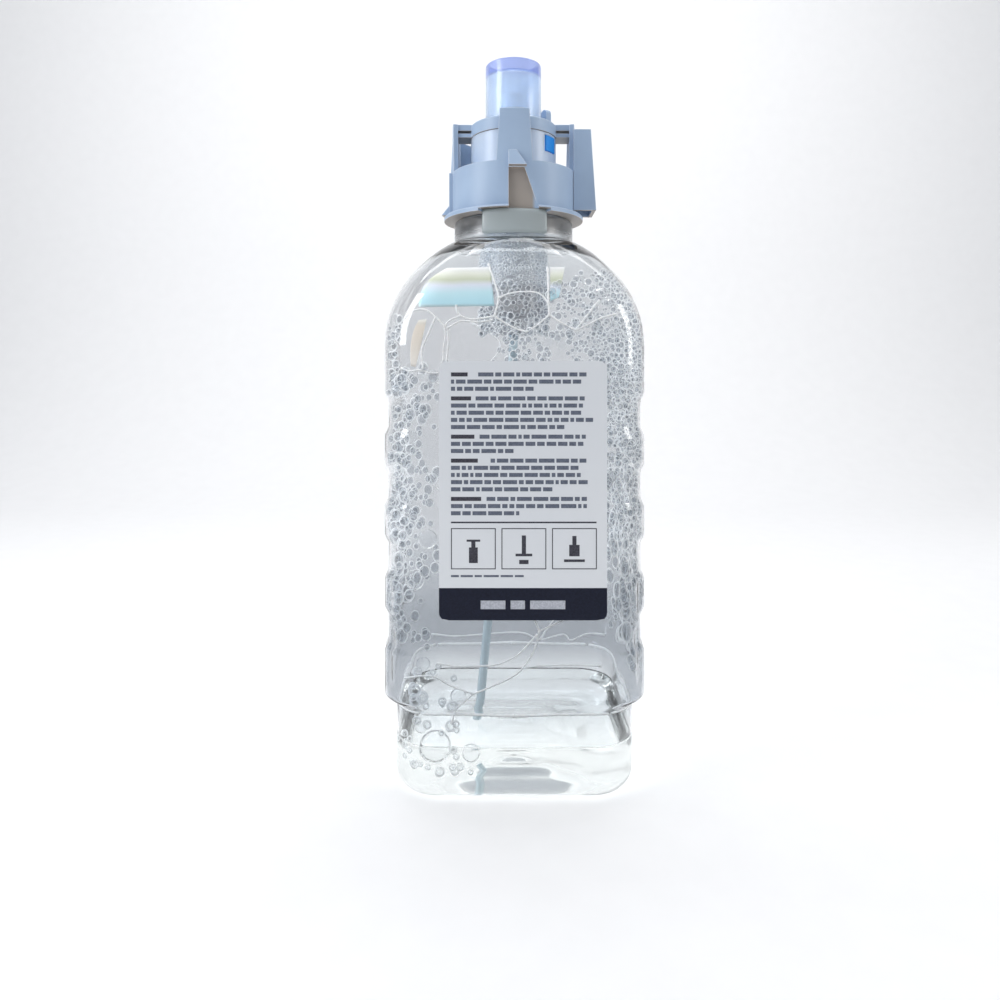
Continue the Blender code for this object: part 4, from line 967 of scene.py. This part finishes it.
# %% Material of a bubble
def bubble_look(name, rim_stops, centre):
    """Tinted grey where it is seen squarely, a painted shade, and white where it is seen edge-on,
    a painted highlight. It casts hardly a shadow.
    """
    material = new_material(name)
    facing = node(material, "LayerWeight", Blend=0.5).outputs["Facing"]
    mirror = node(material, "Fresnel", IOR=1.33).outputs[0]
    hollow = node(material, "BsdfTransparent", Color=(*centre, 1.0))
    gloss = node(material, "BsdfAnisotropic", Color=(1.0, 1.0, 1.0, 1.0), Roughness=0.04)
    painted_rim_white = (0.97, 0.985, 1.0, 1.0)
    wet = node(material, "BsdfPrincipled", Base_Color=painted_rim_white, Roughness=0.2)
    lit = node(material, "BsdfTranslucent", Color=painted_rim_white)
    skin = mix_shaders(material, mirror, hollow, gloss)
    white = mix_shaders(material, 0.45, wet, lit)
    shine = mix_shaders(material, ramp(material, facing, rim_stops), skin, white)
    return shadow_free(material, shine, (0.985,) * 3)


SMALL_RIM = [(0.16, 0.0), (0.40, 0.70), (0.60, 1.0)]
FINE_RIM = [(0.08, 0.05), (0.30, 0.75), (0.55, 1.0)]
LARGE_RIM = [(0.52, 0.0), (0.72, 0.55), (0.86, 0.95)]
BUBBLE = bubble_look("small_bubble", SMALL_RIM, (0.82, 0.835, 0.85))
FINE_BUBBLE = bubble_look("fine_bubble", FINE_RIM, (0.94, 0.95, 0.955))
LARGE_BUBBLE = bubble_look("large_bubble", LARGE_RIM, (0.965, 0.97, 0.975))

for name, patches in PATCHES.items():
    look = FINE_BUBBLE if name == "suds_foot" else BUBBLE
    piece(name, suds(patches, BIG_BUBBLES[name]), look)
spots, size = large_spots([bubble for group in BIG_BUBBLES.values() for bubble in group])
ones = np.ones(len(size))
large = place_balls(FINE_BALL, spots, size, 0.6, ones, 0.5 * ones)
piece("large_bubbles", large, LARGE_BUBBLE)


# %% Suds round the pump
def pump_suds(seed, low, high, pitch, around):
    """A honeycomb rolled round the pump: its run is wrapped on a cylinder of the radius around."""
    spots, share, dice = honeycomb((0.0, 2 * np.pi * around), (low, high), pitch, seed)
    size = pitch * (0.36 + 0.34 * share**2)
    turn = spots[:, 0] / around
    out = around + size * dice.uniform(0.1, 0.7, len(size))
    centre = np.stack([out * np.cos(turn), out * np.sin(turn), spots[:, 1]], -1)
    return ball_shape(SMALL_BALL, centre[:, None] + SMALL_BALL[0][None] * size[:, None, None])


PUMP_RADIUS = 0.0137
around_neck = pump_suds(7, 0.2050, 0.2235, 0.0016, PUMP_RADIUS)
around_pump = pump_suds(7, 0.1845, 0.2055, 0.0026, PUMP_RADIUS)
piece("suds_neck", around_neck, FINE_BUBBLE)
piece("suds_pump", around_pump, BUBBLE)

# %% [markdown]
# ## Label
# A film label is thinner than the gap between two hairs, so its body is one flat block with
# rounded corners. All that makes it a label is print: a dark band at the foot, grey bars where
# lines of small type would stand, a rule and three plain picture boxes. The print is a layer of
# flat quads a few hundredths of a millimetre in front of the film. It says nothing on purpose.

# %% The label's film
low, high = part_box("label")
LABEL_MID = ((low.x + high.x) / 2, (low.z + high.z) / 2)
LABEL_HALF = ((high.x - low.x) / 2, (high.z - low.z) / 2)
LABEL_FACE = low.y + 0.00007
LABEL_CORNER = 0.0027


def flat_plate(half_width, half_height, front, back, middle):
    """A rounded rectangle in X and Z between two depths, as a closed grid of four rings."""
    turn = np.linspace(0, 2 * np.pi, 160, endpoint=False)
    full = outline_reach(turn, half_width, half_height, LABEL_CORNER)
    reach = full * np.array([0.5, 1.0, 1.0, 0.5])[:, None]
    depth = np.array([back, back, front, front])[:, None]
    x, z = middle[0] + reach * np.cos(turn), middle[1] + reach * np.sin(turn)
    return np.stack(np.broadcast_arrays(x, depth, z), -1)


LABEL_FILM = new_material("label_film")
place = object_place(LABEL_FILM)
sheen = noise(LABEL_FILM, place, 9.0, 1.0)
tone = ramp(LABEL_FILM, sheen, [(0.3, (0.69, 0.715, 0.75)), (0.7, (0.745, 0.765, 0.785))])
tooth = noise(LABEL_FILM, place, 420.0, 4.0)
grain = node(LABEL_FILM, "Bump", Strength=0.25, Distance=0.00004, Height=tooth).outputs["Normal"]
gloss = {"Roughness": 0.32, "Coat_Weight": 0.25}
surface(LABEL_FILM, node(LABEL_FILM, "BsdfPrincipled", Base_Color=tone, Normal=grain, **gloss))
sheet = closed_grid(flat_plate(*LABEL_HALF, LABEL_FACE, high.y, LABEL_MID))
label = piece("label_sheet", sheet, LABEL_FILM, smooth=False)
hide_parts("label")


# %% Bars and boxes
TEXT_LEFT, TEXT_RIGHT = 4.6, 60.5
TEXT_PITCH, TEXT_THICK = 2.75, 1.55


def text_rows(rows, right, top, pitch, thick, seed, last):
    """Rows of word-like bars (left, right, bottom and top, in millimetres from the label's lower
    left corner): widths from 1.2 to 6 mm with 0.7 mm between, the last row cut short."""
    dice = np.random.default_rng(seed)
    made = []
    for row in range(rows):
        short = TEXT_LEFT + (right - TEXT_LEFT) * last
        end = right - dice.uniform(0, 2.5) if row < rows - 1 else short
        widths = dice.uniform(1.2, 6.0, 40)
        starts = TEXT_LEFT + np.concatenate([[0], np.cumsum(widths[:-1] + 0.7)])
        z = top - row * pitch
        words = [(start, start + width, z - thick, z) for start, width in zip(starts, widths)]
        made += [word for word in words if word[1] < end]
    return made


def frame_bars(x0, x1, z0, z1, line):
    """The four sides of an empty box."""
    flat = [(x0, x1, z0, z0 + line), (x0, x1, z1 - line, z1)]
    return flat + [(x, x + line, z0 + line, z1 - line) for x in (x0, x1 - line)]


grey_rows, dark_rows = [], []
blocks = [(3, 95.2, 0.62), (5, 86.0, 0.85), (3, 71.3, 0.45), (5, 62.1, 0.70), (3, 47.4, 0.55)]
for index, (rows, top, last) in enumerate(blocks):
    head = 11.0 + index * 1.3
    dark_rows.append((TEXT_LEFT, head, top - TEXT_THICK, top))
    block = text_rows(rows, TEXT_RIGHT, top, TEXT_PITCH, TEXT_THICK, 50 + index, last)
    grey_rows += [b for b in block if not (b[3] == top and b[0] < head + 1.0)]
grey_rows += text_rows(1, 40.0, 17.4, 2.4, 0.8, 70, 0.8)
dark_rows.append((TEXT_LEFT, TEXT_RIGHT, 37.3, 37.9))
for x0 in (4.6, 24.0, 43.4):
    dark_rows += frame_bars(x0, x0 + 17.2, 19.6, 35.4, 0.35)
dark_rows += [(11.5, 14.9, 22.0, 28.0), (12.4, 14.0, 28.0, 30.2), (10.6, 15.8, 30.2, 31.0)]
dark_rows += [(30.8, 34.4, 21.6, 23.2), (31.8, 33.4, 25.6, 32.6), (29.4, 35.8, 24.6, 25.6)]
dark_rows += [(48.0, 56.0, 22.4, 23.4), (50.0, 54.0, 24.6, 29.0), (51.2, 52.8, 29.0, 32.4)]
pale_rows = [(16.0, 25.5, 4.3, 7.6), (27.5, 33.0, 4.3, 7.6), (35.0, 48.5, 4.3, 7.6)]
print("bars:", len(grey_rows), "grey,", len(dark_rows), "dark,", len(pale_rows), "pale")


# %% The print
LABEL_FOOT = LABEL_MID[1] - LABEL_HALF[1]


def print_layer(name, bars, material, lift):
    """All bars of one ink as flat quads that face -Y, a set distance in front of the film."""
    bars = np.array(bars) / 1000
    x = LABEL_MID[0] - LABEL_HALF[0] + bars[:, [0, 1, 1, 0]]
    z = LABEL_FOOT + bars[:, [2, 2, 3, 3]]
    points = np.stack([x, np.full_like(x, LABEL_FACE - lift), z], -1).reshape(-1, 3)
    quads = np.arange(len(points)).reshape(-1, 4)
    piece(name, (points, [quads]), material, smooth=False)


def ink(name, dark, light, roughness, gloss=0.5):
    """Printed ink: one tone mottled by fine noise, flatter than the film round it."""
    material = new_material(name)
    grain = noise(material, object_place(material), 1500.0, 2.0)
    tone = ramp(material, grain, [(0.35, dark), (0.65, light)])
    settings = {"Base_Color": tone, "Roughness": roughness, "Specular_IOR_Level": gloss}
    return surface(material, node(material, "BsdfPrincipled", **settings))


GREY_INK = ink("grey_ink", (0.085, 0.10, 0.14), (0.13, 0.15, 0.20), 0.5)
DARK_INK = ink("dark_ink", (0.02, 0.02, 0.03), (0.05, 0.05, 0.07), 0.5)
print_layer("label_grey_bars", grey_rows, GREY_INK, 0.00003)
print_layer("label_dark_bars", dark_rows, DARK_INK, 0.00003)
BAND_HALF = 0.0080
band_depths = LABEL_FACE - 0.00002, LABEL_FACE + 0.00005
band_middle = (LABEL_MID[0], LABEL_FOOT + BAND_HALF)
band_grid = flat_plate(LABEL_HALF[0], BAND_HALF, *band_depths, band_middle)
band_grid[..., 2] = np.minimum(band_grid[..., 2], LABEL_FOOT + 0.0124)
NAVY = ink("navy_band", (0.004, 0.006, 0.018), (0.007, 0.010, 0.026), 0.45, 0.22)
piece("label_band", closed_grid(band_grid), NAVY, smooth=False)
PALE_INK = ink("pale_ink", (0.35, 0.37, 0.42), (0.48, 0.50, 0.55), 0.45)
print_layer("label_pale_bars", pale_rows, PALE_INK, 0.00005)

# %% [markdown]
# ## Moulded plastics
# The collar is moulded in grey-blue resin, the pump's housing in milky natural resin, and the
# outlet sleeve in clear periwinkle. A moulded surface shows a fine even grain and slow changes of
# gloss where the mould cooled unevenly. The Bevel node rounds every edge in the shading by a
# quarter of a millimetre, which a knife-sharp CAD edge lacks, without touching the CAD mesh.

# %% Moulded material
def painted_under_shade(material, tone):
    """The tone times a painted warm shade on faces that look down, and inside the skirt and the
    latch pocket: at a radius under 26.2 mm and a height under 250.4 mm, both with soft edges."""
    radius = maths(material, "VectorMath", "LENGTH", object_place(material, (1.0, 1.0, 0.0)))
    near = map_range(material, radius, 0.0259, 0.0263, 1.0, 0.0)
    low = map_range(material, axes(material)["Z"], 0.2500, 0.2506, 1.0, 0.0)
    inside = maths(material, "Math", "MULTIPLY", near, low)
    normal = node(material, "NewGeometry").outputs["Normal"]
    facing = node(material, "SeparateXYZ", Vector=normal).outputs["Z"]
    down = map_range(material, facing, -0.8, -0.3, 1.0, 0.0)
    share = maths(material, "Math", "MAXIMUM", inside, down)
    return mix(material, share, tone, (0.94, 0.64, 0.43, 1.0))


def painted_edge_highlight(material, tone, rim_light):
    """A painted highlight: the tone, paler by rim_light where the surface turns over an edge within
    half a millimetre: there the normal of a wide bevel leaves the true one."""
    wide = node(material, "Bevel", Radius=0.0005, samples=6).outputs["Normal"]
    true = node(material, "NewGeometry").outputs["Normal"]
    agree = maths(material, "VectorMath", "DOT_PRODUCT", wide, true)
    near_edge = map_range(material, agree, 0.80, 0.985, rim_light, 0.0)
    return mix(material, near_edge, tone, (0.86, 0.90, 0.97, 1.0), "MIX")


def moulded(name, dark, light, roughness, through=0.0, glow=0.0, painted_shade_stops=None, painted_edges_and_shade=False):
    """Resin: two close tones in slow clouds, fine grain, rounded edges, and some light through it.

    painted_shade_stops is a list of (height in metres, colour) stops that the clouds are multiplied
    by: painted shade along the height. With painted_edges_and_shade the resin gets a painted
    highlight on its edges and painted warm shade on faces that look down and in its hollows.
    """
    material = new_material(name)
    place = object_place(material)
    tone = ramp(material, noise(material, place, 55.0, 3.0), [(0.3, dark), (0.7, light)])
    if painted_shade_stops:
        tone = mix(material, 1.0, tone, height_ramp(material, painted_shade_stops))
    if painted_edges_and_shade:
        tone = painted_under_shade(material, painted_edge_highlight(material, tone, 0.75))
    rounded = node(material, "Bevel", Radius=0.00025, samples=4).outputs["Normal"]
    skin = {"Height": noise(material, place, 2600.0, 2.0), "Normal": rounded}
    relief = node(material, "Bump", Strength=0.35, Distance=0.00003, **skin)
    resin = node(
        material,
        "BsdfPrincipled",
        Base_Color=tone,
        Roughness=roughness,
        IOR=1.49,
        Transmission_Weight=through,
        Subsurface_Weight=glow,
        Subsurface_Scale=0.002,
        Normal=relief.outputs["Normal"],
    )
    if not through:
        return surface(material, resin)
    return shadow_free(material, resin, [0.4 + 0.5 * c for c in light])


# Painted shade: the pump's housing darker and warmer low down, in the bottle under the collar.
PUMP_PAINTED_SHADE = [(0.200, (0.74, 0.66, 0.60)), (0.232, 0.80), (0.250, (0.98, 0.99, 1.0))]
# Painted shade: the sleeve's top ring darker.
RIM_PAINTED_SHADE = [(0.2944, 1.0), (0.2953, (0.60, 0.64, 0.92))]
GREY_BLUE = moulded("grey_blue_resin", (0.345, 0.455, 0.62), (0.385, 0.505, 0.67), 0.40, painted_edges_and_shade=True)
NATURAL_TONES = (0.72, 0.82, 0.95), (0.80, 0.88, 0.98)
NATURAL = moulded("natural_resin", *NATURAL_TONES, 0.28, through=0.45, painted_shade_stops=PUMP_PAINTED_SHADE)
TUBE = moulded("dip_tube_resin", (0.66, 0.77, 0.82), (0.74, 0.84, 0.88), 0.25, through=0.35)
PERIWINKLE_TONES = (0.74, 0.85, 0.99), (0.80, 0.89, 1.0)
PERIWINKLE = moulded("periwinkle_resin", *PERIWINKLE_TONES, 0.14, through=0.72, painted_shade_stops=RIM_PAINTED_SHADE)
KEY_BLUE = moulded("bright_blue_resin", (0.01, 0.25, 0.78), (0.02, 0.31, 0.86), 0.34)
WHITE = moulded("white_resin", (0.80, 0.82, 0.84), (0.86, 0.87, 0.89), 0.38, glow=0.1)
RUBBER = moulded("seal_rubber", (0.50, 0.52, 0.54), (0.58, 0.60, 0.62), 0.70)
STEEL = new_material("spring_wire")
drawn = noise(STEEL, object_place(STEEL, (1.0, 1.0, 8.0)), 700.0, 3.0)
wire = {"Base_Color": ramp(STEEL, drawn, [(0.3, 0.48), (0.7, 0.66)]), "Metallic": 1.0}
surface(STEEL, node(STEEL, "BsdfPrincipled", Roughness=0.24, Anisotropic=0.5, **wire))
print("resins, rubber and steel: 8 looks")


# %% Materials on the CAD nodes
def dress(material, *names):
    """Puts a material in every slot of the CAD nodes named, without touching their meshes."""
    for name in names:
        for place in NODES[name].material_slots:
            place.material = material


def smooth_copy(name, source, material, body):
    """A copy of a CAD node with its loose triangles merged, shaded smooth below 32 degrees. A copy
    given no body rides on none."""
    mesh = NODES[source].data.copy()
    loose = bmesh.new()
    loose.from_mesh(mesh)
    bmesh.ops.remove_doubles(loose, verts=loose.verts, dist=0.000001)
    loose.to_mesh(mesh)
    loose.free()
    if "custom_normal" in mesh.attributes:
        mesh.attributes.remove(mesh.attributes["custom_normal"])
    mesh.polygons.foreach_set("use_smooth", np.ones(len(mesh.polygons), dtype=bool))
    mesh.set_sharp_from_angle(angle=math.radians(32))
    mesh.materials.clear()
    mesh.materials.append(material)
    thing = linked(name, mesh)
    if body:
        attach(thing, body)
    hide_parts(source)
    return thing


smooth_copy("collar_moulding", "collar", GREY_BLUE, "pack")
smooth_copy("housing_moulding", "pump_housing", NATURAL, "pack")
smooth_copy("sleeve_moulding", "outlet_sleeve", PERIWINKLE, "pump_head")
dress(TUBE, "dip_tube")
dress(KEY_BLUE, "key_tab")
dress(RUBBER, "neck_gasket", "air_valve")
dress(WHITE, "air_piston", "liquid_piston", "ball_retainer")
dress(WHITE, "mesh_cartridge", "upper_mesh", "lower_mesh")
dress(STEEL, "inlet_ball", "outlet_ball")
print("dressed:", len(NODES), "nodes")

# %% [markdown]
# ## The spring
# The pump's spring stands on the fixed housing and carries the moving piston. Left on one body it
# would be run through by the piston when the pump is pressed. So its copy rides on no body, and
# its place is baked into its mesh.

# %% Spring between the two bodies
spring = smooth_copy("spring_coil", "return_spring", STEEL, None)
low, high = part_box("return_spring")
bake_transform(spring)
print("spring:", round((high.z - low.z) * 1000, 1), "mm at rest")
